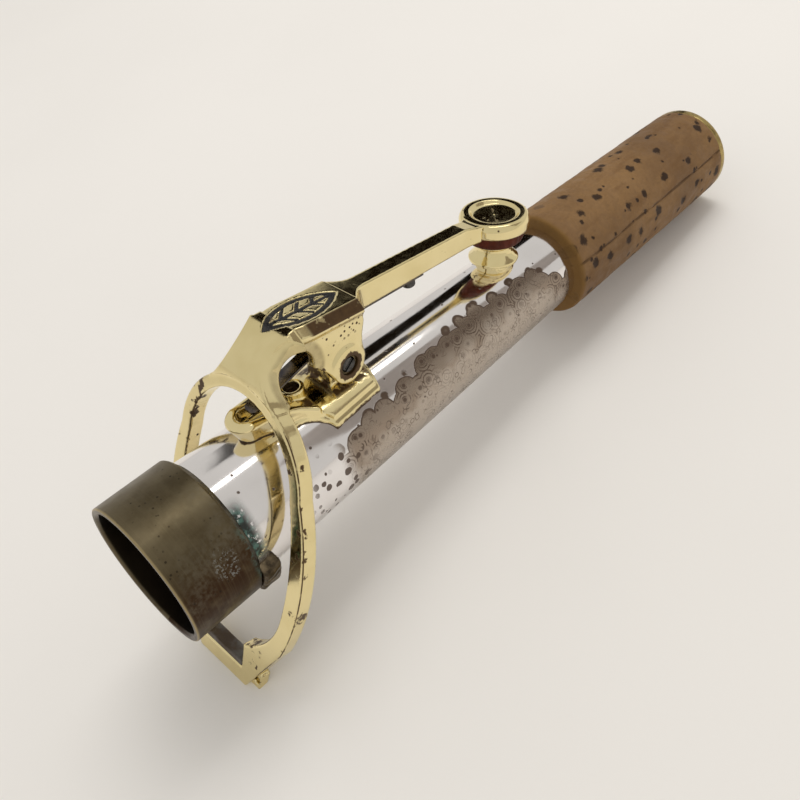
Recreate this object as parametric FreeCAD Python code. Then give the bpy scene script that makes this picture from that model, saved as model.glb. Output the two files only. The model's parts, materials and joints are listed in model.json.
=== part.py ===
"""Detachable straight neck of a soprano saxophone, with its octave key.

Frame: the origin is the centre of the tenon's open face, +X runs along the tube to the mouthpiece end,
+Z points to the octave key, and Y is across the key.  All sizes are in millimetres.
"""

import FreeCAD
import Part
import math
import os

Vector = FreeCAD.Vector

# ---- Tube, tenon and cork ----
TENON_RADIUS = 9.2
TENON_LENGTH = 9.2
TENON_MOUTH_RADIUS = 8.3
TENON_SEAT_X = 5.0
TUBE_RADIUS_AT_TENON = 8.15
TUBE_TAPER = 0.0317
TUBE_WALL = 0.6
CORK_FRONT_X = 70.7
CORK_END_X = 110.0
CORK_FRONT_RADIUS = 7.95
CORK_END_RADIUS = 7.4
TIP_END_X = 111.4
TIP_RADIUS = 7.1
EDGE_BREAK = 0.25
SOLDER_WIDTH = 0.55

# ---- Locating stud at the back edge of the tenon ----
STUD_X = (9.2, 11.6)
STUD_OUTER_RADIUS = 9.75
STUD_START_DEG = 100.0
STUD_SPAN_DEG = 34.0

# ---- Octave pip ----
PIP_X = 60.8
PIP_STEM_RADIUS = 1.9
PIP_FLANGE_RADIUS = 3.4
PIP_FLANGE_Z = 7.8
PIP_LIP_RADIUS = 2.2
PIP_TOP_Z = 10.1
PIP_BORE_RADIUS = 0.9
PIP_BORE_EASE = 0.4
VENT_OUTER_RADIUS = 1.5
VENT_BORE_RADIUS = 0.6
VENT_BOTTOM_Z = 3.2
VENT_TOP_Z = 7.6

# ---- Octave key: hinge and lever ----
PIVOT_X = 30.4
PIVOT_Z = 11.0
EAR_RADIUS = 2.4
EAR_INNER_Y = 2.25
BRIDGE_HALF_WIDTH = 3.9
HINGE_ROD_RADIUS = 0.95
HINGE_CLEARANCE = 0.05
POST_HALF_WIDTH = 2.1
POST_RADIUS = 1.9
LEVER_TOP_X = 36.4
LEVER_TOP_Z = 17.8
LEVER_SLOPE = 0.107
HOOD_X = 24.3
HOOD_Z = 13.1
HOOD_RADIUS = 6.4
HOOD_THICKNESS = 3.0
HOOD_HALF_WIDTH = 5.6
WAIST_ANGLE_DEG = 57.7
WAIST_BAR_HALF_WIDTH = 2.52
WAIST_SCOOP_RADIUS = 8.5
WAIST_FLARE = 0.45
PLATE_START_X = 25.6
PLATE_START_Z = 19.3
BRIDGE_END_X = 33.9
PLATE_THICKNESS = 2.2
ARCH_X = 23.5
ARCH_Z = 14.5
ARCH_RADIUS = 2.5
TOP_CHAMFER = 0.9
ARM_HALF_WIDTH = 1.25
ARM_HEIGHT = 3.25
ARM_END_DROP = 0.7  # the arm thins from above towards the cup

# ---- Pad cup and pad ----
CUP_X = 60.8
CUP_TILT_DEG = 6.1
CUP_RADIUS = 4.7
CUP_HEIGHT = 2.0
CUP_TOP_Z = 14.2
CUP_DISH_RADIUS = 3.4
CUP_DISH_DEPTH = 0.5
CUP_ROOF = 0.6
CUP_WALL = 0.6
PAD_RADIUS = 3.95
PAD_BOTTOM_Z = PIP_TOP_Z
PAD_SKIN = 0.35
PAD_CARD = 0.4

# ---- Octave ring: a loop of flat strap in a leaning plane ----
RING_LEAN_DEG = 22.0
RING_PLANE_X = 12.5
RING_WIDTH = 2.1
RING_TOP_S = 16.4
RING_SHOULDER = (10.9, 6.4)
RING_SIDE = (12.6, -5.5)
RING_KNEE = (10.4, -15.6)
RING_FOOT = (4.7, -24.8)
RING_INNER_TOP_S = 14.8
RING_INNER_SHOULDER = (9.2, 6.0)
RING_INNER_SIDE = (10.3, -3.0)
RING_INNER_KNEE = (9.6, -11.0)
RING_INNER_BLEND = (7.4, -15.6)
RING_NOTCH = (3.7, -18.5)
RING_NOTCH_FLOOR_S = -22.2
BUMPER_THICKNESS = 0.8
TAB_TOP_S = -21.2
TAB_LOW_S = -24.5
TAB_OUTER_Y = -7.0
TAB_THICKNESS = 1.3
TAB_HOLE_RADIUS = 0.5

# ---- Saddle ----
SADDLE_THICKNESS = 1.0
NOSE_TIP_X = 15.2
NOSE_HALF_WIDTH = 2.3
NOSE_TOP_Z = 10.9
NOSE_END_X = 23.0
NOSE_END_Z = 9.5
SLOT_FRONT_X = 16.6
SLOT_HALF_WIDTH = 1.3
SLOT_FLOOR_Z = 8.8
WAIST_X = 21.6
WAIST_HALF_WIDTH = 3.0
WAIST_SWEEP = 0.55
WING_X = 25.6
WING_HALF_WIDTH = 5.4
SADDLE_END_X = 33.2
SADDLE_END_HALF_WIDTH = 4.9
SADDLE_END_BULGE = 1.0
BOSS_X = 24.3
BOSS_RADIUS = 1.5
BOSS_TOP_Z = 10.2
BOSS_HOLE_RADIUS = 0.95
BOSS_HOLE_DEPTH = 1.0

# ---- Spring ----
SPRING_HALF_WIDTH = 1.0
SPRING_THICKNESS = 0.35
SPRING_SCREW_X = 44.4
SPRING_BACK_X = 46.2
SPRING_BEND_X = 35.6
SPRING_TIP_X = 18.2
SPRING_TIP_Z = 11.0
SPRING_CURL = 0.3
SPRING_SCREW_RADIUS = 0.9
SPRING_SCREW_HEAD = 1.1

# ---- Ornament ----
ORNAMENT_DEPTH = 0.3
LEAF_MARGIN = 0.2
LEAF_HALF_WIDTH = 1.9
LEAF_LINE = 0.45
LEAF_VEIN = 0.36


def tube_radius(x):
    """Outer radius of the conical tube at a distance x from the tenon's face."""
    return TUBE_RADIUS_AT_TENON - TUBE_TAPER * (x - TENON_LENGTH)


def lever_top(x):
    """Height of the key's straight top line above the tube's axis."""
    return LEVER_TOP_Z - LEVER_SLOPE * (x - LEVER_TOP_X)


def plate_top(x):
    """Height of the bridge's top plate, a little steeper than the arm that it meets at its end."""
    end = lever_top(BRIDGE_END_X)
    return end + (PLATE_START_Z - end) * (BRIDGE_END_X - x) / (BRIDGE_END_X - PLATE_START_X)


def polygon_face(points):
    """A flat face from a closed list of corner vectors."""
    return Part.Face(Part.makePolygon(points + [points[0]]))


def turned(profile):
    """Solid of revolution about X from (x, radius) corners."""
    face = polygon_face([Vector(x, 0, r) for x, r in profile])
    return face.revolve(Vector(0, 0, 0), Vector(1, 0, 0), 360)


def turned_upright(profile, x):
    """Solid of revolution about the vertical line at x from (radius, z) corners."""
    face = polygon_face([Vector(x + r, 0, z) for r, z in profile])
    return face.revolve(Vector(x, 0, 0), Vector(0, 0, 1), 360)


def side_slab(outline, half_width, inner=None):
    """Extrude an (x, z) outline across Y, over the whole width or as two cheeks outside inner."""
    spans = [(-half_width, half_width)]
    if inner is not None:
        spans = [(-half_width, -inner), (inner, half_width)]
    slabs = []
    for low, high in spans:
        face = polygon_face([Vector(x, low, z) for x, z in outline])
        slabs.append(face.extrude(Vector(0, high - low, 0)))
    return slabs[0] if len(slabs) == 1 else slabs[0].fuse(slabs[1])


def cross_cylinder(radius, x, z, low, high):
    """Cylinder whose axis runs across the key, from y = low to y = high."""
    return Part.makeCylinder(radius, high - low, Vector(x, low, z), Vector(0, 1, 0))


def cone_body(x0, x1, offset):
    """Solid cone that stands out from the tube's surface by offset, between x0 and x1."""
    r0 = tube_radius(x0) + offset
    r1 = tube_radius(x1) + offset
    return Part.makeCone(r0, r1, x1 - x0, Vector(x0, 0, 0), Vector(1, 0, 0))


def filleted(shape, radius, wanted):
    """Round the edges that wanted accepts, leaving the shape alone where that isn't possible."""
    edges = [e for e in shape.Edges if wanted(e)]
    if not edges:
        return shape
    try:
        rounded = shape.makeFillet(radius, edges)
    except Part.OCCError:
        return shape
    return rounded if rounded.isValid() and rounded.Volume > 0 else shape


# ---------------------------------------------------------------- neck body
def neck_tube():
    front = TENON_SEAT_X
    back = CORK_END_X
    pipe = turned([
        (front, tube_radius(front) - TUBE_WALL),
        (front, tube_radius(front)),
        (back, tube_radius(back)),
        (back, tube_radius(back) - TUBE_WALL),
    ])
    vent_hole = Part.makeCylinder(VENT_OUTER_RADIUS, tube_radius(PIP_X) + 1, Vector(PIP_X, 0, 0))
    return pipe.cut(vent_hole)


def tenon_sleeve():
    seat = tube_radius(TENON_SEAT_X)
    return turned([
        (0, TENON_MOUTH_RADIUS + EDGE_BREAK),
        (0, TENON_RADIUS),
        (TENON_LENGTH - EDGE_BREAK, TENON_RADIUS),
        (TENON_LENGTH, TENON_RADIUS - EDGE_BREAK),
        (TENON_LENGTH, TUBE_RADIUS_AT_TENON),
        (TENON_SEAT_X, seat),
        (TENON_SEAT_X, TENON_MOUTH_RADIUS),
        (EDGE_BREAK, TENON_MOUTH_RADIUS),
    ])


def tenon_solder_bead():
    outer = TUBE_RADIUS_AT_TENON + SOLDER_WIDTH
    end = TENON_LENGTH + SOLDER_WIDTH
    bead = turned([(TENON_LENGTH, TUBE_RADIUS_AT_TENON), (TENON_LENGTH, outer), (end, tube_radius(end))])
    return bead.cut(locating_stud())


def locating_stud():
    """Block on the side of the tube that keys the neck into the body's notch."""
    x0, x1 = STUD_X
    profile = polygon_face([
        Vector(x0, 0, tube_radius(x0)),
        Vector(x0, 0, STUD_OUTER_RADIUS),
        Vector(x1, 0, STUD_OUTER_RADIUS),
        Vector(x1, 0, tube_radius(x1)),
    ])
    block = profile.revolve(Vector(0, 0, 0), Vector(1, 0, 0), STUD_SPAN_DEG)
    block.rotate(Vector(0, 0, 0), Vector(1, 0, 0), STUD_START_DEG)
    outside = STUD_OUTER_RADIUS - 0.3
    return filleted(block, 0.5, lambda e: min(math.hypot(v.Y, v.Z) for v in e.Vertexes) > outside)


def mouthpiece_cork():
    return turned([
        (CORK_FRONT_X, tube_radius(CORK_FRONT_X)),
        (CORK_FRONT_X, CORK_FRONT_RADIUS - 2 * EDGE_BREAK),
        (CORK_FRONT_X + 2 * EDGE_BREAK, CORK_FRONT_RADIUS),
        (CORK_END_X, CORK_END_RADIUS),
        (CORK_END_X, tube_radius(CORK_END_X)),
    ])


def tip_ring():
    bore = tube_radius(CORK_END_X) - TUBE_WALL
    return turned([
        (CORK_END_X, bore),
        (CORK_END_X, TIP_RADIUS),
        (TIP_END_X - 2 * EDGE_BREAK, TIP_RADIUS),
        (TIP_END_X, TIP_RADIUS - 2 * EDGE_BREAK),
        (TIP_END_X, bore + EDGE_BREAK),
        (TIP_END_X - EDGE_BREAK, bore),
    ])


def octave_pip():
    """Chimney on a round flange that the pad closes, leaning with the pad and fitted to the tube."""
    root = tube_radius(PIP_X) / 2
    lip_low = PIP_TOP_Z - 0.5
    chimney = tilted_about_cup(turned_upright([
        (PIP_BORE_RADIUS, root),
        (PIP_STEM_RADIUS + 0.5, root),
        (PIP_STEM_RADIUS + 0.5, PIP_FLANGE_Z - 0.8),
        (PIP_FLANGE_RADIUS - 0.3, PIP_FLANGE_Z - 0.6),
        (PIP_FLANGE_RADIUS, PIP_FLANGE_Z - 0.3),
        (PIP_FLANGE_RADIUS, PIP_FLANGE_Z),
        (PIP_FLANGE_RADIUS - 0.4, PIP_FLANGE_Z + 0.15),
        (PIP_STEM_RADIUS + 0.25, PIP_FLANGE_Z + 0.5),
        (PIP_STEM_RADIUS, PIP_FLANGE_Z + 0.9),
        (PIP_STEM_RADIUS, lip_low - 0.2),
        (PIP_LIP_RADIUS, lip_low),
        (PIP_LIP_RADIUS, PIP_TOP_Z - 0.15),
        (PIP_LIP_RADIUS - 0.15, PIP_TOP_Z),
        (PIP_BORE_RADIUS + PIP_BORE_EASE, PIP_TOP_Z),
        (PIP_BORE_RADIUS, PIP_TOP_Z - PIP_BORE_EASE),
    ], PIP_X))
    reach = 2 * PIP_FLANGE_RADIUS
    return chimney.cut(cone_body(PIP_X - reach, PIP_X + reach, 0)).cut(vent_tube_solid())


def vent_tube_solid():
    return Part.makeCylinder(VENT_OUTER_RADIUS, VENT_TOP_Z - VENT_BOTTOM_Z, Vector(PIP_X, 0, VENT_BOTTOM_Z))


def vent_tube():
    bore = Part.makeCylinder(VENT_BORE_RADIUS, VENT_TOP_Z, Vector(PIP_X, 0, 0))
    return vent_tube_solid().cut(bore)


def saddle_outline():
    """Shield-shaped plan: round nose, narrow waist, flared wings and a slightly tapered back."""
    nose_centre = NOSE_TIP_X + NOSE_HALF_WIDTH
    corners = [
        Vector(nose_centre, NOSE_HALF_WIDTH, 0),
        Vector(WAIST_X, WAIST_HALF_WIDTH, 0),
        Vector(WING_X, WING_HALF_WIDTH, 0),
        Vector(SADDLE_END_X, SADDLE_END_HALF_WIDTH, 0),
    ]

    def mirror(point):
        return Vector(point.x, -point.y, point.z)

    def half(points):
        sweep = Vector(WAIST_SWEEP, -math.copysign(WAIST_SWEEP, points[1].y), 0)
        return [
            Part.LineSegment(points[0], points[1]).toShape(),
            Part.Arc(points[1], (points[1] + points[2]) / 2 + sweep, points[2]).toShape(),
            Part.LineSegment(points[2], points[3]).toShape(),
        ]

    left = half(corners)
    right = half([mirror(p) for p in corners])
    nose = Part.Arc(corners[0], Vector(NOSE_TIP_X, 0, 0), mirror(corners[0])).toShape()
    back = Part.Arc(corners[3], Vector(SADDLE_END_X + SADDLE_END_BULGE, 0, 0), mirror(corners[3])).toShape()
    wire = Part.Wire(Part.__sortEdges__([nose] + left + [back] + right))
    return Part.Face(wire)


def key_saddle():
    """Base soldered to the tube, with the hinge post, the spring's nose and a small drilled boss."""
    tall = 2 * PIVOT_Z
    plan = saddle_outline().extrude(Vector(0, 0, tall))
    start = NOSE_TIP_X - 1
    end = SADDLE_END_X + 2
    tube = cone_body(start, end, 0)
    base = plan.common(cone_body(start, end, SADDLE_THICKNESS))

    nose_block = side_slab([
        (NOSE_TIP_X - 0.5, 0),
        (NOSE_TIP_X - 0.5, NOSE_TOP_Z - 0.6),
        (NOSE_TIP_X + 0.8, NOSE_TOP_Z),
        (NOSE_END_X - 3.0, NOSE_TOP_Z - 0.3),
        (NOSE_END_X, NOSE_END_Z),
        (NOSE_END_X, 0),
    ], NOSE_HALF_WIDTH)
    nose_block = nose_block.common(plan)
    channel = Part.makeBox(
        NOSE_END_X + 1 - SLOT_FRONT_X, 2 * SLOT_HALF_WIDTH, tall,
        Vector(SLOT_FRONT_X, -SLOT_HALF_WIDTH, SLOT_FLOOR_Z),
    )
    nose_block = nose_block.cut(channel)

    post_foot = 0.8
    post = side_slab([
        (PIVOT_X - POST_RADIUS - post_foot, 0),
        (PIVOT_X - POST_RADIUS, PIVOT_Z),
        (PIVOT_X + POST_RADIUS, PIVOT_Z),
        (PIVOT_X + POST_RADIUS + post_foot, 0),
    ], POST_HALF_WIDTH)
    post = post.fuse(cross_cylinder(POST_RADIUS, PIVOT_X, PIVOT_Z, -POST_HALF_WIDTH, POST_HALF_WIDTH))
    boss = Part.makeCylinder(BOSS_RADIUS, BOSS_TOP_Z, Vector(BOSS_X, 0, 0))
    hole_floor = Vector(BOSS_X, 0, BOSS_TOP_Z - BOSS_HOLE_DEPTH)
    boss_hole = Part.makeCylinder(BOSS_HOLE_RADIUS, BOSS_HOLE_DEPTH, hole_floor)
    rod_hole = cross_cylinder(
        HINGE_ROD_RADIUS + HINGE_CLEARANCE, PIVOT_X, PIVOT_Z, -BRIDGE_HALF_WIDTH, BRIDGE_HALF_WIDTH)
    saddle = base.fuse([nose_block, post, boss]).cut(tube)
    return saddle.cut(boss_hole.fuse(rod_hole)).removeSplitter()


# ---------------------------------------------------------------- octave key body
def ring_place(p, s, depth=0.0):
    """Point in the ring's leaning plane: p across, s up the plane, depth behind it."""
    lean = math.radians(RING_LEAN_DEG)
    x = RING_PLANE_X + s * math.sin(lean) + depth * math.cos(lean)
    z = s * math.cos(lean) - depth * math.sin(lean)
    return Vector(x, p, z)


def ring_arc(a, b, c):
    return Part.Arc(ring_place(*a), ring_place(*b), ring_place(*c)).toShape()


def ring_line(a, b):
    return Part.LineSegment(ring_place(*a), ring_place(*b)).toShape()


def across(point):
    return (-point[0], point[1])


def ring_normal(length):
    return ring_place(0, 0, length) - ring_place(0, 0, 0)


def ring_outer_face():
    edges = [
        ring_arc(RING_SHOULDER, (0, RING_TOP_S), across(RING_SHOULDER)),
        ring_line(RING_FOOT, across(RING_FOOT)),
    ]
    for side in (lambda q: q, across):
        edges.append(ring_arc(side(RING_SHOULDER), side(RING_SIDE), side(RING_KNEE)))
        edges.append(ring_line(side(RING_KNEE), side(RING_FOOT)))
    return Part.Face(Part.Wire(Part.__sortEdges__(edges)))


def ring_inner_face():
    notch_low = (RING_NOTCH[0], RING_NOTCH_FLOOR_S)
    edges = [
        ring_arc(RING_INNER_SHOULDER, (0, RING_INNER_TOP_S), across(RING_INNER_SHOULDER)),
        ring_line(notch_low, across(notch_low)),
    ]
    for side in (lambda q: q, across):
        edges.append(ring_arc(side(RING_INNER_SHOULDER), side(RING_INNER_SIDE), side(RING_INNER_KNEE)))
        edges.append(ring_arc(side(RING_INNER_KNEE), side(RING_INNER_BLEND), side(RING_NOTCH)))
        edges.append(ring_line(side(RING_NOTCH), side(notch_low)))
    return Part.Face(Part.Wire(Part.__sortEdges__(edges)))


def octave_ring():
    loop = ring_outer_face().cut(ring_inner_face()).extrude(ring_normal(RING_WIDTH))
    return loop.cut(ring_bumper_solid()).removeSplitter()


def ring_bumper_solid():
    """Strip in the notch at the foot of the ring, where the body's octave pin pushes."""
    half = RING_NOTCH[0]
    low = RING_NOTCH_FLOOR_S
    high = low + BUMPER_THICKNESS
    corners = [ring_place(-half, low), ring_place(half, low), ring_place(half, high), ring_place(-half, high)]
    return polygon_face(corners).extrude(ring_normal(RING_WIDTH))


def ring_flank(s):
    """Half-width of the ring's outline at height s, on the straight flank between knee and foot."""
    share = (s - RING_FOOT[1]) / (RING_KNEE[1] - RING_FOOT[1])
    return RING_FOOT[0] + share * (RING_KNEE[0] - RING_FOOT[0])


def ring_tab():
    """Small drilled ear in the corner beside the ring's foot, flush with the ring's back."""
    front = RING_WIDTH - TAB_THICKNESS
    outline = polygon_face([
        ring_place(-ring_flank(TAB_TOP_S), TAB_TOP_S, front),
        ring_place(TAB_OUTER_Y, TAB_TOP_S - 0.7, front),
        ring_place(TAB_OUTER_Y + 0.4, TAB_LOW_S, front),
        ring_place(-ring_flank(TAB_LOW_S), TAB_LOW_S, front),
    ])
    tab = outline.extrude(ring_normal(TAB_THICKNESS))
    middle = ring_place(TAB_OUTER_Y + 0.95, (TAB_TOP_S + TAB_LOW_S) / 2 - 0.35, front - 1)
    hole = Part.makeCylinder(TAB_HOLE_RADIUS, TAB_THICKNESS + 2, middle, ring_normal(1))
    return tab.cut(hole)


def hood_point(angle_deg, radius):
    """Point on the hood's side profile, with the angle measured up from its front."""
    angle = math.radians(angle_deg)
    return Vector(HOOD_X - radius * math.cos(angle), 0, HOOD_Z + radius * math.sin(angle))


def front_hood():
    """Round front of the key: a thick quarter band with a waist scooped out of both sides."""
    inner = HOOD_RADIUS - HOOD_THICKNESS
    arcs = [Part.Arc(*[hood_point(a, radius) for a in (0, 45, 90)]) for radius in (HOOD_RADIUS, inner)]
    ends = [Part.LineSegment(hood_point(a, HOOD_RADIUS), hood_point(a, inner)) for a in (0, 90)]
    edges = [curve.toShape() for curve in arcs + ends]
    face = Part.Face(Part.Wire(Part.__sortEdges__(edges)))
    face.translate(Vector(0, -HOOD_HALF_WIDTH, 0))
    band = face.extrude(Vector(0, 2 * HOOD_HALF_WIDTH, 0))

    start = 1.0
    depth = start + HOOD_THICKNESS + 1.0
    outside = hood_point(WAIST_ANGLE_DEG, HOOD_RADIUS + start)
    inward = hood_point(WAIST_ANGLE_DEG, 0) - outside
    for side in (-1, 1):
        centre = outside + Vector(0, side * (WAIST_BAR_HALF_WIDTH + WAIST_SCOOP_RADIUS), 0)
        wide = WAIST_SCOOP_RADIUS + WAIST_FLARE * start
        band = band.cut(Part.makeCone(wide, wide - WAIST_FLARE * depth, depth, centre, inward))
    return band


def bridge_plate():
    """Top plate with broad chamfers along both sides."""
    x0, x1 = HOOD_X, BRIDGE_END_X
    plate = side_slab([
        (x0, PLATE_START_Z - 0.1),
        (PLATE_START_X, plate_top(PLATE_START_X)),
        (x1, plate_top(x1)),
        (x1, plate_top(x1) - PLATE_THICKNESS),
        (x0, PLATE_START_Z - PLATE_THICKNESS),
    ], BRIDGE_HALF_WIDTH)
    middle = (PLATE_START_X + x1) / 2
    return plate.makeChamfer(TOP_CHAMFER, [
        e for e in plate.Edges
        if abs(e.CenterOfMass.y) > BRIDGE_HALF_WIDTH - 0.01 and abs(e.CenterOfMass.x - middle) < 0.1
        and e.CenterOfMass.z > plate_top(middle) - 0.05
    ])


def bridge_cheeks():
    """Two side plates that carry the arch and the hinge ears."""
    under = plate_top(BRIDGE_END_X) - PLATE_THICKNESS + 0.1
    outline = [
        (ARCH_X - ARCH_RADIUS, ARCH_Z + ARCH_RADIUS),
        (HOOD_X - 1.0, PLATE_START_Z - 0.8),
        (BRIDGE_END_X, under + 0.6),
        (BRIDGE_END_X, under - 0.8),
        (PIVOT_X + EAR_RADIUS + 0.5, 13.6),
        (PIVOT_X + EAR_RADIUS, PIVOT_Z),
        (PIVOT_X - EAR_RADIUS, PIVOT_Z),
        (ARCH_X + ARCH_RADIUS + 0.2, ARCH_Z - 1.2),
        (ARCH_X, ARCH_Z),
    ]
    cheeks = side_slab(outline, BRIDGE_HALF_WIDTH - 0.1, EAR_INNER_Y)
    for low, high in ((-BRIDGE_HALF_WIDTH + 0.1, -EAR_INNER_Y), (EAR_INNER_Y, BRIDGE_HALF_WIDTH - 0.1)):
        cheeks = cheeks.fuse(cross_cylinder(EAR_RADIUS, PIVOT_X, PIVOT_Z, low, high))
    return cheeks


def key_bridge():
    """Top plate, sloping front, arched cheeks and hinge ears, fitted against the ring."""
    wide = 2 * HOOD_HALF_WIDTH
    body = front_hood().fuse([bridge_plate(), bridge_cheeks()])
    body = body.cut(cross_cylinder(ARCH_RADIUS, ARCH_X, ARCH_Z, -wide, wide))
    body = body.cut(cross_cylinder(HINGE_ROD_RADIUS, PIVOT_X, PIVOT_Z, -wide, wide))
    ahead = ring_outer_face()
    ahead.translate(ring_normal(-HOOD_THICKNESS))
    body = body.cut(ahead.extrude(ring_normal(HOOD_THICKNESS + RING_WIDTH)))
    return body.cut(ornament_inlay()).removeSplitter()


def key_arm():
    x0, x1 = BRIDGE_END_X, CUP_X
    arm = side_slab([
        (x0, lever_top(x0)),
        (x1, lever_top(x1) - ARM_END_DROP),
        (x1, lever_top(x1) - ARM_HEIGHT),
        (x0, lever_top(x0) - ARM_HEIGHT),
    ], ARM_HALF_WIDTH)
    return arm.cut(cup_blank()).cut(spring_screw())


def tilted_about_cup(shape):
    """Lean a shape on the cup's axis so that it sits square on the pip."""
    shape.rotate(Vector(CUP_X, 0, PIP_TOP_Z), Vector(0, 1, 0), CUP_TILT_DEG)
    return shape


def cup_blank():
    """The whole space of the cup and pad, which the arm stops against."""
    height = 2 * (CUP_TOP_Z - PIP_TOP_Z)
    return tilted_about_cup(Part.makeCylinder(CUP_RADIUS, height, Vector(CUP_X, 0, PIP_TOP_Z)))


def pad_cup():
    top = CUP_TOP_Z
    low = top - CUP_HEIGHT
    roof = top - CUP_DISH_DEPTH - CUP_ROOF
    return tilted_about_cup(turned_upright([
        (0, roof),
        (0, top - CUP_DISH_DEPTH),
        (CUP_DISH_RADIUS - 0.3, top - CUP_DISH_DEPTH),
        (CUP_DISH_RADIUS, top),
        (CUP_RADIUS - 0.5, top),
        (CUP_RADIUS, top - 0.5),
        (CUP_RADIUS, low),
        (CUP_RADIUS - CUP_WALL, low),
        (CUP_RADIUS - CUP_WALL, roof),
    ], CUP_X))


def pad_stack():
    """Card, felt and leather skin of the pad, from the cup's roof down to the pip."""
    roof = CUP_TOP_Z - CUP_DISH_DEPTH - CUP_ROOF
    card_low = roof - PAD_CARD
    bottom = PAD_BOTTOM_Z + 0.02
    radius = PAD_RADIUS
    card = Part.makeCylinder(radius, PAD_CARD, Vector(CUP_X, 0, card_low))
    skin_top = bottom + PAD_SKIN
    felt = Part.makeCylinder(radius - PAD_SKIN, card_low - skin_top, Vector(CUP_X, 0, skin_top))
    leather = turned_upright([
        (0, bottom),
        (radius - 0.5, bottom),
        (radius, bottom + 0.5),
        (radius, card_low),
        (radius - PAD_SKIN, card_low),
        (radius - PAD_SKIN, skin_top),
        (0, skin_top),
    ], CUP_X)
    return [tilted_about_cup(s) for s in (card, felt, leather)]


def hinge_rod():
    """Screw rod through both ears and the post, with a slotted head sunk in the right ear."""
    half = BRIDGE_HALF_WIDTH - 0.1
    rod = cross_cylinder(HINGE_ROD_RADIUS, PIVOT_X, PIVOT_Z, -half + 0.25, half - 0.1)
    slot_width = 0.35
    slot = Part.makeBox(
        4, 0.6, slot_width, Vector(PIVOT_X - 2, -half, PIVOT_Z - slot_width / 2))
    slot.rotate(Vector(PIVOT_X, 0, PIVOT_Z), Vector(0, 1, 0), 35)
    return rod.cut(slot)


def spring_line():
    """(x, z) points along the spring's lower face, from its tip to the end under the arm."""
    under_arm = ARM_HEIGHT + SPRING_THICKNESS
    return [
        (SPRING_TIP_X, SPRING_TIP_Z - SPRING_CURL),
        (SPRING_TIP_X + 0.8, SPRING_TIP_Z),
        (SPRING_BEND_X, lever_top(SPRING_BEND_X) - under_arm),
        (SPRING_BACK_X, lever_top(SPRING_BACK_X) - under_arm),
    ]


def flat_spring():
    low = spring_line()
    high = [(x, z + SPRING_THICKNESS) for x, z in reversed(low)]
    blade = side_slab(low + high, SPRING_HALF_WIDTH)
    return blade.cut(spring_screw())


def spring_screw():
    seat = lever_top(SPRING_SCREW_X) - ARM_HEIGHT - SPRING_THICKNESS
    under = seat - SPRING_SCREW_HEAD
    head = Part.makeCylinder(SPRING_SCREW_RADIUS, SPRING_SCREW_HEAD, Vector(SPRING_SCREW_X, 0, under))
    shank = Part.makeCylinder(0.5 * SPRING_SCREW_RADIUS, 2.0, Vector(SPRING_SCREW_X, 0, seat))
    slot = Part.makeBox(4, 0.3, 0.4, Vector(SPRING_SCREW_X - 2, -0.15, under))
    return head.fuse(shank).cut(slot).removeSplitter()


def ornament_inlay():
    """Enamel line in the top plate: a long leaf with a centre vein."""
    x0 = PLATE_START_X + LEAF_MARGIN
    x1 = BRIDGE_END_X - LEAF_MARGIN
    outer = leaf(x0, x1, LEAF_HALF_WIDTH)
    inner = leaf(x0 + 2 * LEAF_LINE, x1 - 2 * LEAF_LINE, LEAF_HALF_WIDTH - LEAF_LINE)
    vein_length = x1 - x0 - 2 * LEAF_LINE
    corner = Vector((x0 + x1 - vein_length) / 2, -LEAF_VEIN / 2, 0)
    vein = Part.makeBox(vein_length, LEAF_VEIN, 2 * LEVER_TOP_Z, corner)
    band = side_slab([
        (x0, plate_top(x0)),
        (x1, plate_top(x1)),
        (x1, plate_top(x1) - ORNAMENT_DEPTH),
        (x0, plate_top(x0) - ORNAMENT_DEPTH),
    ], BRIDGE_HALF_WIDTH)
    return outer.cut(inner).fuse(vein).common(band).removeSplitter()


def leaf(x0, x1, half_width):
    middle = (x0 + x1) / 2
    left = Part.Arc(Vector(x0, 0, 0), Vector(middle, half_width, 0), Vector(x1, 0, 0)).toShape()
    right = Part.Arc(Vector(x0, 0, 0), Vector(middle, -half_width, 0), Vector(x1, 0, 0)).toShape()
    return Part.Face(Part.Wire(Part.__sortEdges__([left, right]))).extrude(Vector(0, 0, 2 * LEVER_TOP_Z))


def build():
    card, felt, leather = pad_stack()
    nodes = {
        "neck_tube": neck_tube(),
        "tenon_sleeve": tenon_sleeve(),
        "tenon_solder_bead": tenon_solder_bead(),
        "locating_stud": locating_stud(),
        "mouthpiece_cork": mouthpiece_cork(),
        "tip_ring": tip_ring(),
        "octave_pip": octave_pip(),
        "vent_tube": vent_tube(),
        "key_saddle": key_saddle(),
        "octave_ring": octave_ring(),
        "ring_bumper": ring_bumper_solid(),
        "ring_tab": ring_tab(),
        "key_bridge": key_bridge(),
        "ornament_inlay": ornament_inlay(),
        "key_arm": key_arm(),
        "pad_cup": pad_cup(),
        "pad_card": card,
        "pad_felt": felt,
        "pad_leather": leather,
        "hinge_rod": hinge_rod(),
        "flat_spring": flat_spring(),
        "spring_screw": spring_screw(),
    }
    os.makedirs("parts", exist_ok=True)
    for name, shape in nodes.items():
        solids = len(shape.Solids)
        print(f"{name:20s} solids {solids} valid {shape.isValid()} volume {shape.Volume:8.2f} mm3")
        shape.exportStep(f"parts/{name}.step")


build()
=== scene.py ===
import bpy
import json
import math
import numpy as np
from mathutils import Matrix, Vector


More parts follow.
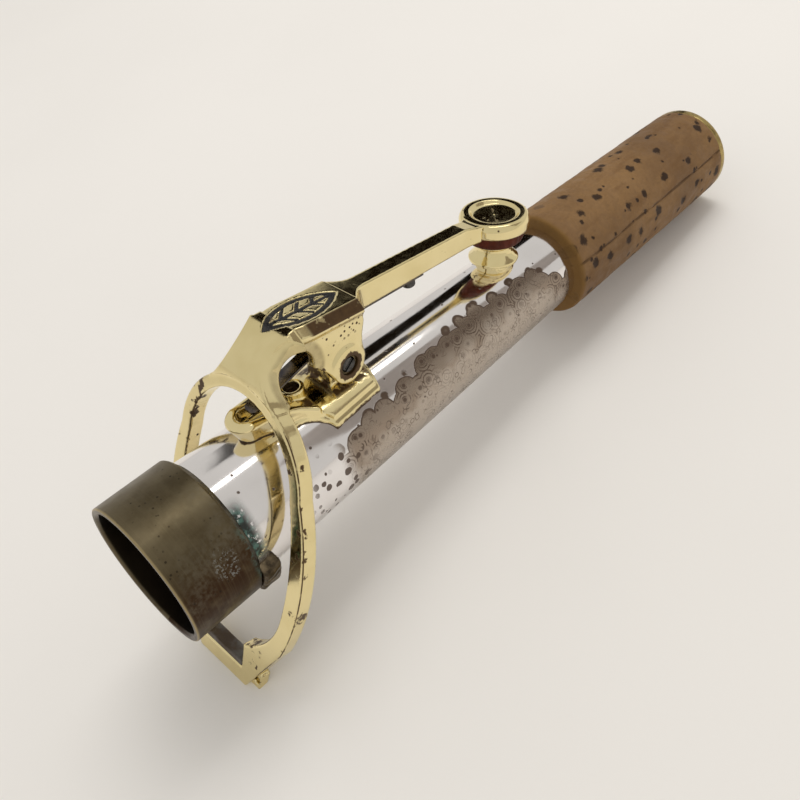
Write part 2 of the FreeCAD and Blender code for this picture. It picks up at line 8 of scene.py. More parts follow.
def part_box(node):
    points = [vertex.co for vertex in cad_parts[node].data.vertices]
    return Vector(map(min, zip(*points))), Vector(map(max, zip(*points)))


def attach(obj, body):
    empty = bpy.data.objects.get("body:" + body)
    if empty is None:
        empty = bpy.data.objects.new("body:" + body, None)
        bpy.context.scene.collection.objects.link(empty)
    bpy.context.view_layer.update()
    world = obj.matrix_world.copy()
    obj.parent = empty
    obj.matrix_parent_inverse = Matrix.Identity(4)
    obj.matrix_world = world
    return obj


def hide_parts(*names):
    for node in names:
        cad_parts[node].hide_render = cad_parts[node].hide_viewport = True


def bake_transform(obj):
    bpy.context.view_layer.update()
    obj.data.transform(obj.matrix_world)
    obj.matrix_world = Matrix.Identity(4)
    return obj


# Looks for the straight saxophone neck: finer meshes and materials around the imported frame.
# Shapes are worked out in millimetres in the CAD frame and written to Blender in metres.
# X runs from the tenon's mouth to the tip, Z is up through the key, and -Y is the camera's side.
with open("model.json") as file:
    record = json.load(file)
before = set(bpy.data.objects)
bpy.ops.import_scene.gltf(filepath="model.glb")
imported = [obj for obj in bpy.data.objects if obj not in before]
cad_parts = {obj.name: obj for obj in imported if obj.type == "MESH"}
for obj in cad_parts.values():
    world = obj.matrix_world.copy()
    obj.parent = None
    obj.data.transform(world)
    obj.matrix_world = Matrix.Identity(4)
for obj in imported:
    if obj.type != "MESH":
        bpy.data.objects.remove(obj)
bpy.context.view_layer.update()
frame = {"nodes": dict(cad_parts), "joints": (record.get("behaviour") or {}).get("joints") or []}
MM = 0.001
FINE = 0.17


# ---------------------------------------------------------------- sizes and places
def box_mm(node):
    """Lowest and highest corners of a CAD node, in millimetres."""
    return [[round(c / MM, 2) for c in corner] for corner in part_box(node)]


TENON_L, TENON_R, _ = box_mm("tenon_sleeve")[1]
TENON_MOUTH, TENON_SEAT = 8.3, box_mm("neck_tube")[0][0]
TUBE_R0, TAPER, WALL = 8.15, 0.0317, 0.6
(CORK_X0, _, _), (CORK_X1, _, CORK_R0) = box_mm("mouthpiece_cork")
CORK_R1 = 7.4
TIP_X, TIP_R, _ = box_mm("tip_ring")[1]
SEAM_ANGLE = math.radians(69.0)
STUD_ANGLE, STUD_R, STUD_HALF, STUD_X0, STUD_X1 = math.radians(117.0), 9.7, 2.75, 9.15, 11.55

PIP_X, PIP_TOP, PIP_R, VENT_R = 60.8, 10.1, 2.4, 0.9
FLANGE_Z, FLANGE_R = 7.8, 3.4
CUP_R, CUP_TOP, CUP_LOW, CUP_TILT = 4.7, 14.2, 12.2, 6.1
PAD_R = 3.95

PIVOT = [round(c / MM, 2) for c in frame["joints"][0]["pos_m"][::2]]
POST_R, POST_HALF = 1.9, 2.08
EAR_R, EAR_Y, CHEEK_Y = 2.4, 3.05, 2.85
SCREW_R, HEAD_R, HEAD_FACE, HEAD_BACK, SLOT_FLOOR = 0.94, 1.05, 3.5, 3.27, 3.3

LEAN = math.radians(22.0)
RING_X, RING_W = 12.5, 2.1
HOOD, HOOD_R, HOOD_T = (24.3, 13.1), 6.4, 3.0
WAIST_DEG, WAIST_HALF, SCOOP_R, FLARE = 57.7, 2.52, 8.5, 0.45
ARCH, ARCH_R = (23.5, 14.5), 2.5
PLATE_X0, PLATE_Z0, PLATE_X1 = 25.6, 19.3, box_mm("key_bridge")[1][0]
PLATE_HALF, PLATE_T, PLATE_BEVEL = 3.9, 2.2, 1.0
LEAF_X0, LEAF_X1, LEAF_HALF, LEAF_LOW, LEAF_DEEP = 22.6, 33.3, 2.35, 16.5, 0.3
ARM_HALF, ARM_H, ARM_DROP = 1.25, 3.25, 0.7
SPRING_SCREW_X, SPRING_T = 44.4, 0.35

NOSE_X, NOSE_R, NOSE_FLOOR = 17.9, 1.25, 8.8
BOSS_X, BOSS_R, BOSS_TOP, BOSS_HOLE_R, BOSS_FLOOR = 24.3, 1.5, 10.2, 0.95, 9.2

# The neck rests on its ring's foot and its cork.
FOOT_X, FOOT_Z = 3.2, -23.0
REST_X, REST_Z = 110.0, -7.4
FLOOR_TILT = math.atan2(REST_Z - FOOT_Z, REST_X - FOOT_X)
FLOOR_Z = -7.42


def tube_r(x):
    return TUBE_R0 - TAPER * (x - TENON_L)


def lever_top(x):
    """Height of the arm's straight, slightly falling top."""
    return 17.8 - 0.107 * (x - 36.4)


PLATE_SLOPE = (PLATE_Z0 - lever_top(PLATE_X1)) / (PLATE_X1 - PLATE_X0)


def plate_top(x):
    return lever_top(PLATE_X1) + PLATE_SLOPE * (PLATE_X1 - x)


def ring_plane(x, z):
    """Height along the leaning ring's plane, and distance from that plane."""
    rise = (x - RING_X) * math.sin(LEAN) + z * math.cos(LEAN)
    off = (x - RING_X) * math.cos(LEAN) - z * math.sin(LEAN)
    return rise, off


def from_pivot(x, z):
    return np.hypot(x - PIVOT[0], z - PIVOT[1])


# ---------------------------------------------------------------- mesh making
def new_object(name, verts, faces, sharp_deg=35.0):
    """A smooth-shaded mesh object from vertices in millimetres."""
    mesh = bpy.data.meshes.new(name)
    mesh.from_pydata((np.asarray(verts, float) * MM).tolist(), [], [list(f) for f in faces])
    mesh.validate()
    mesh.shade_smooth()
    if sharp_deg:
        mesh.set_sharp_from_angle(angle=math.radians(sharp_deg))
    obj = bpy.data.objects.new(name, mesh)
    bpy.context.scene.collection.objects.link(obj)
    return obj


def lathe(name, profile, steps=192, upright_x=None, tilt=0.0, tilt_at=0.0, bend=None):
    """Turn a closed loop of (along, radius) corners about X, or about the upright line at upright_x."""
    prof = np.array(profile, float)
    n, m = len(prof), steps
    turn = np.arange(m) * 2 * math.pi / m
    along = np.repeat(prof[:, 0], m)
    rad = np.repeat(prof[:, 1], m)
    ang = np.tile(turn, n)
    if bend is not None:
        rad = rad + bend(along, ang, rad)
    a, b = rad * np.cos(ang), rad * np.sin(ang)
    if upright_x is None:
        verts = np.stack([along, -b, a], 1)
    else:
        t = math.radians(tilt)
        z = along - tilt_at
        verts = np.stack([upright_x + a * math.cos(t) + z * math.sin(t), b,
                          tilt_at - a * math.sin(t) + z * math.cos(t)], 1)
    faces = []
    for i in range(n):
        j = (i + 1) % n
        for k in range(m):
            q = (k + 1) % m
            faces.append((i * m + k, i * m + q, j * m + q, j * m + k))
    return new_object(name, verts, faces)


def rounded(profile, radius=0.12, steps=4):
    """Round every corner of a closed profile."""
    pts = [np.array(p, float) for p in profile]
    out = []
    for i, p in enumerate(pts):
        a, b = pts[i - 1] - p, pts[(i + 1) % len(pts)] - p
        la, lb = np.linalg.norm(a), np.linalg.norm(b)
        cosine = float(np.clip(a @ b / max(la * lb, 1e-9), -1, 1))
        cut = min(radius, 0.42 * la, 0.42 * lb)
        if cosine < -0.985 or cut < 0.01:
            out.append(p)
            continue
        p0, p2 = p + a / la * cut, p + b / lb * cut
        for k in range(steps + 1):
            t = k / steps
            out.append((1 - t) ** 2 * p0 + 2 * t * (1 - t) * p + t * t * p2)
    return [tuple(q) for q in out]


def smin(a, b, k):
    h = np.clip(0.5 + 0.5 * (b - a) / k, 0, 1)
    return b * (1 - h) + a * h - k * h * (1 - h)


def smax(a, b, k):
    return -smin(-a, -b, k)


def polygon_distance(px, py, corners):
    """Signed distance from points to a closed polygon, negative inside."""
    best = np.full(px.shape, 1e9)
    inside = np.zeros(px.shape, bool)
    n = len(corners)
    for i in range(n):
        (ax, ay), (bx, by) = corners[i], corners[(i + 1) % n]
        ex, ey = bx - ax, by - ay
        wx, wy = px - ax, py - ay
        t = np.clip((wx * ex + wy * ey) / max(ex * ex + ey * ey, 1e-12), 0, 1)
        best = np.minimum(best, (wx - ex * t) ** 2 + (wy - ey * t) ** 2)
        cross = (ay <= py) != (by <= py)
        side = ex * (py - ay) - ey * (px - ax)
        inside ^= cross & ((side > 0) == (by > ay))
    d = np.sqrt(best)
    return np.where(inside, -d, d)


class Outline:
    """A flat outline's distance field, tabled once and read by interpolation."""

    def __init__(self, corners, step=0.05, margin=3.0):
        c = np.array(corners, float)
        self.low = c.min(0) - margin
        self.step = step
        self.n = np.ceil((c.max(0) + margin - self.low) / step).astype(int) + 1
        gx, gy = np.meshgrid(*[self.low[i] + step * np.arange(self.n[i]) for i in (0, 1)], indexing="ij")
        self.table = polygon_distance(gx, gy, [tuple(p) for p in c])

    def __call__(self, u, v):
        fu = np.clip((u - self.low[0]) / self.step, 0, self.n[0] - 1.001)
        fv = np.clip((v - self.low[1]) / self.step, 0, self.n[1] - 1.001)
        i, j = fu.astype(int), fv.astype(int)
        a, b = fu - i, fv - j
        t = self.table
        return ((t[i, j] * (1 - a) + t[i + 1, j] * a) * (1 - b)
                + (t[i, j + 1] * (1 - a) + t[i + 1, j + 1] * a) * b)


def arc3(p0, p1, p2, steps=24):
    """Points on the circle arc through three flat points, without the last one."""
    ax, ay = p0
    bx, by = p1
    cx, cy = p2
    d = 2 * (ax * (by - cy) + bx * (cy - ay) + cx * (ay - by))
    a2, b2, c2 = ax * ax + ay * ay, bx * bx + by * by, cx * cx + cy * cy
    ux = (a2 * (by - cy) + b2 * (cy - ay) + c2 * (ay - by)) / d
    uy = (a2 * (cx - bx) + b2 * (ax - cx) + c2 * (bx - ax)) / d
    r = math.hypot(ax - ux, ay - uy)
    t0, t1, t2 = [math.atan2(q[1] - uy, q[0] - ux) for q in (p0, p1, p2)]
    two = 2 * math.pi
    sweep, part = (t2 - t0) % two, (t1 - t0) % two
    if part > sweep:
        sweep -= two
    return [(ux + r * math.cos(t0 + sweep * k / steps), uy + r * math.sin(t0 + sweep * k / steps))
            for k in range(steps)]


def slab(flat, across, half, r):
    """A flat outline's distance given thickness, with edges rounded to r."""
    q0 = flat + r
    q1 = np.abs(across) - half + r
    return np.minimum(np.maximum(q0, q1), 0) + np.hypot(np.maximum(q0, 0), np.maximum(q1, 0)) - r


def solid_mesh(name, field, low, high, step=FINE, sharp_deg=None):
    """Mesh the zero surface of a distance field with dual cells, then draw the vertices onto it.

    A coarse pass over blocks of cells finds where the surface can be, so the fine pass stays small.
    """
    low = np.array(low, float)
    block = 4
    n = (np.ceil((np.array(high, float) - low) / (step * block)).astype(int) + 1)
    centre = [low[i] + step * block * (np.arange(n[i]) + 0.5) for i in range(3)]
    cx, cy, cz = np.meshgrid(*centre, indexing="ij")
    coarse = field(cx.ravel(), cy.ravel(), cz.ravel()).reshape(n)
    reach = step * block * 0.87 * 1.25 + 0.25  # half a block's diagonal, a quarter more, and a margin
    near = np.abs(coarse) < reach
    shape = n * block + 1
    value = np.ones(shape, np.float32)
    value[:-1, :-1, :-1] = np.where(coarse > 0, 1, -1).repeat(block, 0).repeat(block, 1).repeat(block, 2)
    mask = np.zeros(shape, bool)
    for i, j, k in np.argwhere(near) * block:
        mask[i:i + block + 1, j:j + block + 1, k:k + block + 1] = True
    where = np.argwhere(mask)
    batch = 400000
    for start in range(0, len(where), batch):
        w = where[start:start + batch]
        p = low + w * step
        value[w[:, 0], w[:, 1], w[:, 2]] = field(p[:, 0], p[:, 1], p[:, 2])
    inside = value < 0
    count = np.zeros(np.array(shape) - 1, np.int8)
    corners = [(a, b, c) for a in (0, 1) for b in (0, 1) for c in (0, 1)]
    nx, ny, nz = shape
    for a, b, c in corners:
        count += inside[a:nx - 1 + a, b:ny - 1 + b, c:nz - 1 + c]
    mixed = (count > 0) & (count < 8)
    cells = np.argwhere(mixed)
    index = np.full(mixed.shape, -1, np.int64)
    index[mixed] = np.arange(len(cells))
    total = np.zeros((len(cells), 3))
    hits = np.zeros(len(cells))
    for p in range(8):
        for q in range(p + 1, 8):
            a, b = np.array(corners[p]), np.array(corners[q])
            if np.abs(a - b).sum() != 1:
                continue
            va = value[tuple((cells + a).T)].astype(float)
            vb = value[tuple((cells + b).T)].astype(float)
            ok = (va < 0) != (vb < 0)
            t = np.where(ok, va / np.where(ok, va - vb, 1), 0)
            total += np.where(ok[:, None], a + t[:, None] * (b - a), 0)
            hits += ok
    verts = low + step * (cells + total / hits[:, None])
    eps = 0.02
    for _ in range(2):
        f0 = field(*verts.T)
        grad = np.stack([(field(*(verts + eps * e).T) - field(*(verts - eps * e).T)) / (2 * eps)
                         for e in np.eye(3)], 1)
        size = (grad ** 2).sum(1)
        move = -f0[:, None] * grad / np.maximum(size, 0.25)[:, None]
        verts = verts + np.clip(move, -0.4 * step, 0.4 * step)
    faces = []
    for axis in range(3):
        u, v = (axis + 1) % 3, (axis + 2) % 3
        lo, hi = [slice(None)] * 3, [slice(None)] * 3
        lo[axis], hi[axis] = slice(0, -1), slice(1, None)
        edge = np.argwhere(inside[tuple(lo)] != inside[tuple(hi)])
        eu, ev = edge[:, u], edge[:, v]
        edge = edge[(eu > 0) & (ev > 0) & (eu < shape[u] - 1) & (ev < shape[v] - 1)]
        du, dv = np.eye(3, dtype=int)[u], np.eye(3, dtype=int)[v]
        quad = np.stack([index[tuple((edge - s).T)] for s in (0 * du, du, du + dv, dv)], 1)
        out = inside[tuple(edge.T)]
        quad[~out] = quad[~out][:, ::-1]
        faces.append(quad[(quad >= 0).all(1)])
    return new_object(name, verts, np.concatenate(faces).tolist(), sharp_deg)


# ---------------------------------------------------------------- fields
def flip(point):
    return -point[0], point[1]


def mirror(point):
    return point[0], -point[1]


def ring_outlines():
    """The ring in its own plane: round shoulders, straight limbs, and a notched foot inside."""
    shoulder, side, knee, foot, top = (10.9, 6.4), (12.6, -5.5), (10.4, -15.6), (4.7, -24.8), (0, 16.4)
    outer = arc3(flip(shoulder), top, shoulder, 48) + arc3(shoulder, side, knee, 32)
    outer += [knee, foot, flip(foot)] + arc3(flip(knee), flip(side), flip(shoulder), 32)
    shoulder, side, knee, top = (9.2, 6.0), (10.3, -3.0), (9.6, -11.0), (0, 14.8)
    blend, notch, low = (7.4, -15.6), (3.7, -18.5), (3.7, -22.2)
    inner = arc3(flip(shoulder), top, shoulder, 48) + arc3(shoulder, side, knee, 32)
    inner += arc3(knee, blend, notch, 20) + [notch, low, flip(low)]
    inner += arc3(flip(notch), flip(blend), flip(knee), 20) + arc3(flip(knee), flip(side), flip(shoulder), 32)
    return Outline(outer), Outline(inner)


RING_OUT, RING_IN = ring_outlines()
TAB = Outline([(5.3, -21.2), (7.0, -21.9), (6.6, -24.5), (4.6, -24.5)])
TAB_HOLE, TAB_HOLE_R = (6.05, -23.2), 0.5
CHEEK = Outline([(21.0, 17.0), (23.3, 18.5), (33.9, 16.6), (33.9, 15.2), (33.3, 13.6), (32.8, 11.0),
                 (28.0, 11.0), (26.2, 13.3), (23.5, 14.5)])


def leaf_outline():
    mid = (LEAF_X0 + LEAF_X1) / 2
    stalk, tip = (LEAF_X0, 0), (LEAF_X1, 0)
    sides = arc3(stalk, (mid, LEAF_HALF), tip, 30) + arc3(tip, (mid, -LEAF_HALF), stalk, 30)
    return Outline(sides, 0.03, 1.5)


LEAF = leaf_outline()


def leaf_line(x, y):
    """Distance to the engraved line: the leaf's edge, its vein and short side veins."""
    edge = np.abs(LEAF(x, y) + 0.36) - 0.33
    vein = np.maximum(np.abs(y) - 0.27, np.maximum(23.6 - x, x - 32.6))
    slant = (x - 0.9 * np.abs(y)) % 2.2 - 1.1
    inside = np.maximum(LEAF(x, y) + 0.8, np.maximum(24.4 - x, x - 31.9))
    side = np.maximum(np.abs(slant) * 0.74 - 0.22, inside)
    return np.minimum(np.minimum(edge, vein), side)


def ring_and_hood(x, ay, z):
    """The leaning ring, and the round hood scooped to a waist where it meets the ring."""
    rise, off = ring_plane(x, z)
    flat = np.maximum(RING_OUT(ay, rise), -RING_IN(ay, rise))
    ring = slab(flat, off - RING_W / 2, RING_W / 2, 0.28)
    rho = np.hypot(x - HOOD[0], z - HOOD[1])
    band = np.maximum(rho - HOOD_R, HOOD_R - HOOD_T - rho)
    band = np.maximum(band, np.maximum(x - HOOD[0] - 0.6, 12.9 - z))
    t = math.radians(WAIST_DEG)
    out = np.array([-math.cos(t), math.sin(t)])
    along = (x - HOOD[0]) * out[0] + (z - HOOD[1]) * out[1]
    beside = (x - HOOD[0]) * out[1] - (z - HOOD[1]) * out[0]
    radius = SCOOP_R - FLARE * (HOOD_R - along)
    scoop = (radius - np.hypot(ay - WAIST_HALF - SCOOP_R, beside)) / math.hypot(1, FLARE)
    band = smax(band, np.maximum(scoop, ay - 5.6), 0.3)
    fade = 3.0 * np.clip((24.0 - x) / 2.4, 0, 1)
    band = smax(band, (z - plate_top(x) + ay - PLATE_HALF + PLATE_BEVEL - fade) / math.sqrt(2), 0.1)
    band = smax(band, -np.maximum(RING_OUT(ay, rise), np.maximum(off - RING_W, -3.0 - off)), 0.05)
    return smin(ring, band, 0.45)


def plate_part(x, ay, z):
    """The flat top plate, bevelled above, narrowed towards the hood and undercut below."""
    level = 1 / math.hypot(1, PLATE_SLOPE)
    top = (z - plate_top(x)) * level
    under = (plate_top(x) - PLATE_T - z) * level
    half = PLATE_HALF - 0.55 * np.clip((26.6 - x) / 2.8, 0, 1) ** 1.5
    plate = smax(top, (top + ay - half + PLATE_BEVEL) / math.sqrt(2), 0.1)
    plate = smax(plate, ay - half, 0.1)
    lower = (plate_top(x) - 1.75 - z) * level
    plate = smax(plate, (lower + 0.8 * (ay - half + 0.35)) / 1.28, 0.12)
    plate = smax(plate, under, 0.2)
    plate = smax(plate, np.maximum(x - PLATE_X1, HOOD[0] + 0.3 - x), 0.08)
    rho = np.hypot(x - HOOD[0], z - HOOD[1])
    return smax(plate, rho - HOOD_R - 20 * np.maximum(x - HOOD[0], 0), 0.2)


def arm_part(x, y, z):
    """The straight arm, flared into the plate and into the cup, where it stops."""
    ay = np.abs(y)
    flare = 0.5 * np.clip((x - 54.0) / 3.0, 0, 1) ** 2 + 1.9 * np.clip((36.6 - x) / 2.8, 0, 1) ** 2.2
    drop = ARM_DROP * np.clip((x - PLATE_X1) / (PIP_X - PLATE_X1), 0, 1)
    drop = drop + 0.3 * np.clip((x - 54.3) / 1.8, 0, 1) + 0.03 * np.clip((35.2 - x) / 1.6, 0, 1)
    arm = np.maximum((z - lever_top(x) + drop) * 0.994, (lever_top(x) - ARM_H - z) * 0.994)
    arm = smax(arm, ay - ARM_HALF - flare, 0.3)
    return np.maximum(arm, np.maximum(x - 57.4, 31.5 - x))


def key_plain(x, y, z):
    """The key's casting before its tab, holes and engraving."""
    ay = np.abs(y)
    weld = 0.04 + 0.26 * np.clip((x - 25.0) / 2.0, 0, 1)
    body = smin(ring_and_hood(x, ay, z), plate_part(x, ay, z), weld)
    cheek = slab(CHEEK(x, z), ay - CHEEK_Y, 0.6, 0.2)
    ear = slab(from_pivot(x, z) - EAR_R, ay - EAR_Y, 0.75, 0.25)
    body = smin(body, smin(cheek, ear, 0.9), 0.5)
    mouth = ARCH_R + 0.35 * np.clip(ay - 3.0, 0, 2)
    body = smax(body, mouth - np.hypot(x - ARCH[0], z - ARCH[1]), 0.3)
    t = math.radians(CUP_TILT)
    from_cup = np.hypot((x - PIP_X) * math.cos(t) - (z - PIP_TOP) * math.sin(t), y)
    return np.maximum(smin(body, arm_part(x, y, z), 0.12), CUP_R - 0.12 - from_cup)


def key_field(x, y, z):
    body = key_plain(x, y, z)
    rise, off = ring_plane(x, z)
    tab = slab(TAB(-y, rise), off - 1.45, 0.65, 0.15)
    tab = np.maximum(tab, TAB_HOLE_R - np.hypot(-y - TAB_HOLE[0], rise - TAB_HOLE[1]))
    body = smin(body, tab, 0.15)
    seat = np.maximum(from_pivot(x, z) - 1.25, 3.25 - np.abs(y))
    bore = np.maximum(from_pivot(x, z) - 0.97, np.abs(y) - 6)
    body = smax(body, -np.minimum(seat, bore), 0.12)
    groove = np.maximum(leaf_line(x, y), np.maximum(LEAF_LOW - z, -(body + LEAF_DEEP)))
    return smax(body, -groove, 0.06)


def inlay_field(x, y, z):
    """Enamel that fills the engraving to just below the plate's face."""
    body = key_plain(x, y, z)
    fill = np.maximum(leaf_line(x, y) + 0.02, LEAF_LOW - z)
    return np.maximum(fill, np.maximum(body + 0.05, -(body + LEAF_DEEP + 0.04)))


def saddle_outline():
    """The saddle's plan: round nose, hollow waists and a square-shouldered back."""
    tip, neck, waist, shoulder, heel = (17.5, -2.3), (21.6, 3.0), (24.15, 3.65), (25.6, 5.4), (33.2, 4.9)
    return Outline(arc3(tip, (15.2, 0), mirror(tip), 24) + [mirror(tip)]
                   + arc3(neck, waist, shoulder, 16) + [shoulder]
                   + arc3(heel, (34.2, 0), mirror(heel), 20) + [mirror(heel)]
                   + arc3(mirror(shoulder), mirror(waist), mirror(neck), 16) + [mirror(neck)])


SADDLE = saddle_outline()
NOSE = Outline([(14.0, 2.0), (14.0, 10.0), (15.6, 10.75), (17.2, 10.95), (20.0, 10.55), (23.2, 9.4),
                (25.0, 8.6), (25.0, 2.0)])


def saddle_field(x, y, z):
    """Stepped flange on the tube, slotted spoon nose, tapering post and a drilled boss."""
    ay = np.abs(y)
    r = np.hypot(y, z)
    plan = SADDLE(x, y)
    pulled = plan + 1.3 * np.clip((21.0 - x) / 3.0, 0, 1)
    low = smax(pulled, r - tube_r(x) - 0.5, 0.12)
    high = smax(pulled + 0.42, r - tube_r(x) - 1.0, 0.16)
    body = smin(low, high, 0.08)
    hull = plan + 0.42 * np.clip(10.3 - z, 0, 3) * np.clip((23.5 - x) / 3.0, 0, 1)
    nose = smax(hull * 0.92, NOSE(x, z), 0.6)
    slot = np.hypot(np.minimum(x - NOSE_X, 0), y) - NOSE_R
    nose = smax(nose, -np.maximum(slot, NOSE_FLOOR - z), 0.35)
    body = smin(body, nose, 0.35)
    wedge = np.abs(x - PIVOT[0]) - POST_R - 0.075 * np.maximum(PIVOT[1] - z, 0)
    post = np.minimum(np.maximum(wedge, z - PIVOT[1]), from_pivot(x, z) - POST_R)
    post = smax(post, ay - POST_HALF, 0.15)
    body = smin(body, post, 0.45)
    from_boss = np.hypot(x - BOSS_X, y)
    body = smin(body, smax(from_boss - BOSS_R, z - BOSS_TOP, 0.25), 0.35)
    body = smax(body, -np.maximum(from_boss - BOSS_HOLE_R, BOSS_FLOOR - z), 0.15)
    return np.maximum(np.maximum(body, tube_r(x) - 0.08 - r), 1.0 - z)


def stud_field(x, y, z):
    """Brazed locating stud on the camera side of the tube, just behind the tenon."""
    r = np.hypot(y, z)
    beside = (np.arctan2(-y, z) - STUD_ANGLE) * r
    block = np.maximum(np.abs(beside) - STUD_HALF, np.maximum(STUD_X0 - x, x - STUD_X1))
    block = smax(block, r - STUD_R, 0.5)
    lump = np.sqrt(((x - 11.1) / 1.1) ** 2 + (beside / 2.2) ** 2 + ((r - 8.3) / 0.8) ** 2) - 1
    block = smin(block, lump * 0.7, 0.5)
    wave = 0.07 * np.sin(3.1 * x + 2.3 * beside) * np.sin(2.7 * z - 1.9 * y)
    return np.maximum(block + wave, tube_r(x) - 0.08 - r)


def screw_field(x, y, z):
    """Hinge rod with a crowned, slotted head in the camera-side ear."""
    r = from_pivot(x, z)
    rod = np.maximum(r - SCREW_R, np.abs(y) - 3.6)
    head = smax(r - HEAD_R, -HEAD_FACE - y, 0.14)
    body = np.minimum(rod, np.maximum(head, y + HEAD_BACK))
    t = math.radians(35)
    across = -(x - PIVOT[0]) * math.sin(t) + (z - PIVOT[1]) * math.cos(t)
    slot = np.maximum(np.abs(across) - 0.24, y + SLOT_FLOOR)
    return smax(body, -slot, 0.05)


def bumper_field(x, y, z):
    """Contact strip in the ring's notch, worn hollow in the middle."""
    rise, off = ring_plane(x, z)
    worn = 0.08 * np.exp(-(y / 1.6) ** 2)
    flat = np.maximum(np.abs(y) - 3.68, np.abs(rise + 21.78 + worn / 2) - 0.42 + worn / 2)
    return slab(flat, off - RING_W / 2, RING_W / 2 - 0.03, 0.12)


# ---------------------------------------------------------------- pieces
def place(obj, body, slot, *nodes):
    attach(obj, body)
    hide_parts(*nodes)
    return obj


tube = lathe("tube_shell", rounded([
    (TENON_SEAT, tube_r(TENON_SEAT) - WALL), (TENON_SEAT, tube_r(TENON_SEAT)), (30, tube_r(30)),
    (50, tube_r(50)), (CORK_X0 - 0.1, tube_r(CORK_X0)), (CORK_X1, tube_r(CORK_X1)),
    (CORK_X1, tube_r(CORK_X1) - WALL)], 0.1), 256)
place(tube, "neck", "silver_tube", "neck_tube")

tenon = lathe("tenon_sleeve_turned", rounded([
    (0.0, TENON_MOUTH + 0.25), (0.0, TENON_R - 0.1), (0.12, TENON_R), (TENON_L - 0.3, TENON_R),
    (TENON_L, TENON_R - 0.3), (TENON_L, TUBE_R0), (TENON_SEAT, TUBE_R0), (TENON_SEAT, TENON_MOUTH),
    (0.3, TENON_MOUTH)], 0.09), 256)
place(tenon, "neck", "bare_brass", "tenon_sleeve")


def bead_wave(x, a, r):
    return 0.05 * np.sin(7 * a) * np.sin(13 * a + 1.0) * (r > TENON_MOUTH)


bead = lathe("tenon_solder_seam", rounded([
    (TENON_L - 0.1, TUBE_R0 - 0.1), (TENON_L - 0.1, TUBE_R0 + 0.5), (TENON_L + 0.25, TUBE_R0 + 0.22),
    (TENON_L + 0.55, TUBE_R0 - 0.08)], 0.1), 192, bend=bead_wave)
place(bead, "neck", "solder", "tenon_solder_bead")

stud = solid_mesh("stud_block", stud_field, (8.6, -10.6, -9.6), (12.9, -3.0, 2.6), min(FINE, 0.14))
place(stud, "neck", "bare_brass", "locating_stud")


def cork_wave(x, a, r):
    """Sheet cork is never quite even, and its glued edges leave a shallow seam."""
    lumps = 0.028 * np.sin(0.9 * x + 2 * np.sin(3 * a)) * np.sin(4 * a + 0.3 * x)
    lumps = lumps + 0.02 * np.sin(2.3 * x + 5 * a) * np.sin(7 * a - 1.1 * x)
    seam = SEAM_ANGLE + 0.02 * np.sin(0.5 * x)
    gap = (a - seam) * r
    dent = 0.16 * np.exp(-(gap / 0.16) ** 2) + 0.05 * np.exp(-((gap - 0.45) / 0.5) ** 2)
    outer = r > 0.5 * (CORK_R1 + tube_r(x))
    return np.where(outer, lumps - dent - 0.03, 0.0)


cork_fall = (CORK_R1 - CORK_R0) / (CORK_X1 - CORK_X0)
cork_profile = [(CORK_X0, tube_r(CORK_X0) - 0.05), (CORK_X0, CORK_R0 - 0.5), (CORK_X0 + 0.1, CORK_R0 - 0.22),
                (CORK_X0 + 0.3, CORK_R0 - 0.06), (CORK_X0 + 0.6, CORK_R0)]
cork_profile += [(x, CORK_R0 + cork_fall * (x - CORK_X0))
                 for x in np.linspace(CORK_X0 + 1.2, CORK_X1 - 0.5, 130)]
cork_profile += [(CORK_X1 - 0.15, CORK_R1 - 0.02), (CORK_X1, CORK_R1 - 0.15),
                 (CORK_X1, tube_r(CORK_X1) - 0.05)]
cork = lathe("cork_sleeve", cork_profile, 360, bend=cork_wave)
place(cork, "neck", "cork", "mouthpiece_cork")

tip_bore = tube_r(CORK_X1) - WALL
tip = lathe("tip_collar", rounded([
    (CORK_X1, tip_bore), (CORK_X1, TIP_R + 0.2), (TIP_X - 0.35, TIP_R + 0.2), (TIP_X, TIP_R - 0.2),
    (TIP_X, tip_bore + 0.3), (TIP_X - 0.3, tip_bore)], 0.25), 192)
place(tip, "neck", "bare_brass", "tip_ring")


def upright(name, profile, radius, steps):
    """Turn a profile about the line through the pip and the pad cup."""
    return lathe(name, rounded(profile, radius), steps, PIP_X, CUP_TILT, PIP_TOP)


pip = upright("pip_chimney", [
    (4.0, VENT_R), (4.0, PIP_R), (FLANGE_Z - 0.85, PIP_R), (FLANGE_Z - 0.72, PIP_R + 0.5),
    (FLANGE_Z - 0.62, FLANGE_R - 0.35), (FLANGE_Z - 0.52, FLANGE_R - 0.1), (FLANGE_Z - 0.38, FLANGE_R - 0.12),
    (FLANGE_Z - 0.32, FLANGE_R), (FLANGE_Z - 0.05, FLANGE_R), (FLANGE_Z + 0.12, FLANGE_R - 0.2),
    (FLANGE_Z + 0.4, FLANGE_R - 0.45), (FLANGE_Z + 0.85, PIP_R + 0.2), (FLANGE_Z + 1.3, PIP_R + 0.02),
    (PIP_TOP - 0.6, PIP_R), (PIP_TOP - 0.45, PIP_R + 0.2), (PIP_TOP - 0.15, PIP_R + 0.22),
    (PIP_TOP, PIP_R + 0.05), (PIP_TOP, VENT_R + 0.4), (PIP_TOP - 0.4, VENT_R)], 0.12, 128)
place(pip, "neck", "lacquered_brass", "octave_pip")

saddle = solid_mesh("saddle_casting", saddle_field, (13.9, -6.2, 4.4), (35.0, 6.2, 13.6))
place(saddle, "neck", "lacquered_brass", "key_saddle")

key = solid_mesh("key_casting", key_field, (2.0, -13.4, -24.6), (57.6, 13.4, 20.3))
place(key, "octave_key", "lacquered_brass", "octave_ring", "ring_tab", "key_bridge", "key_arm")

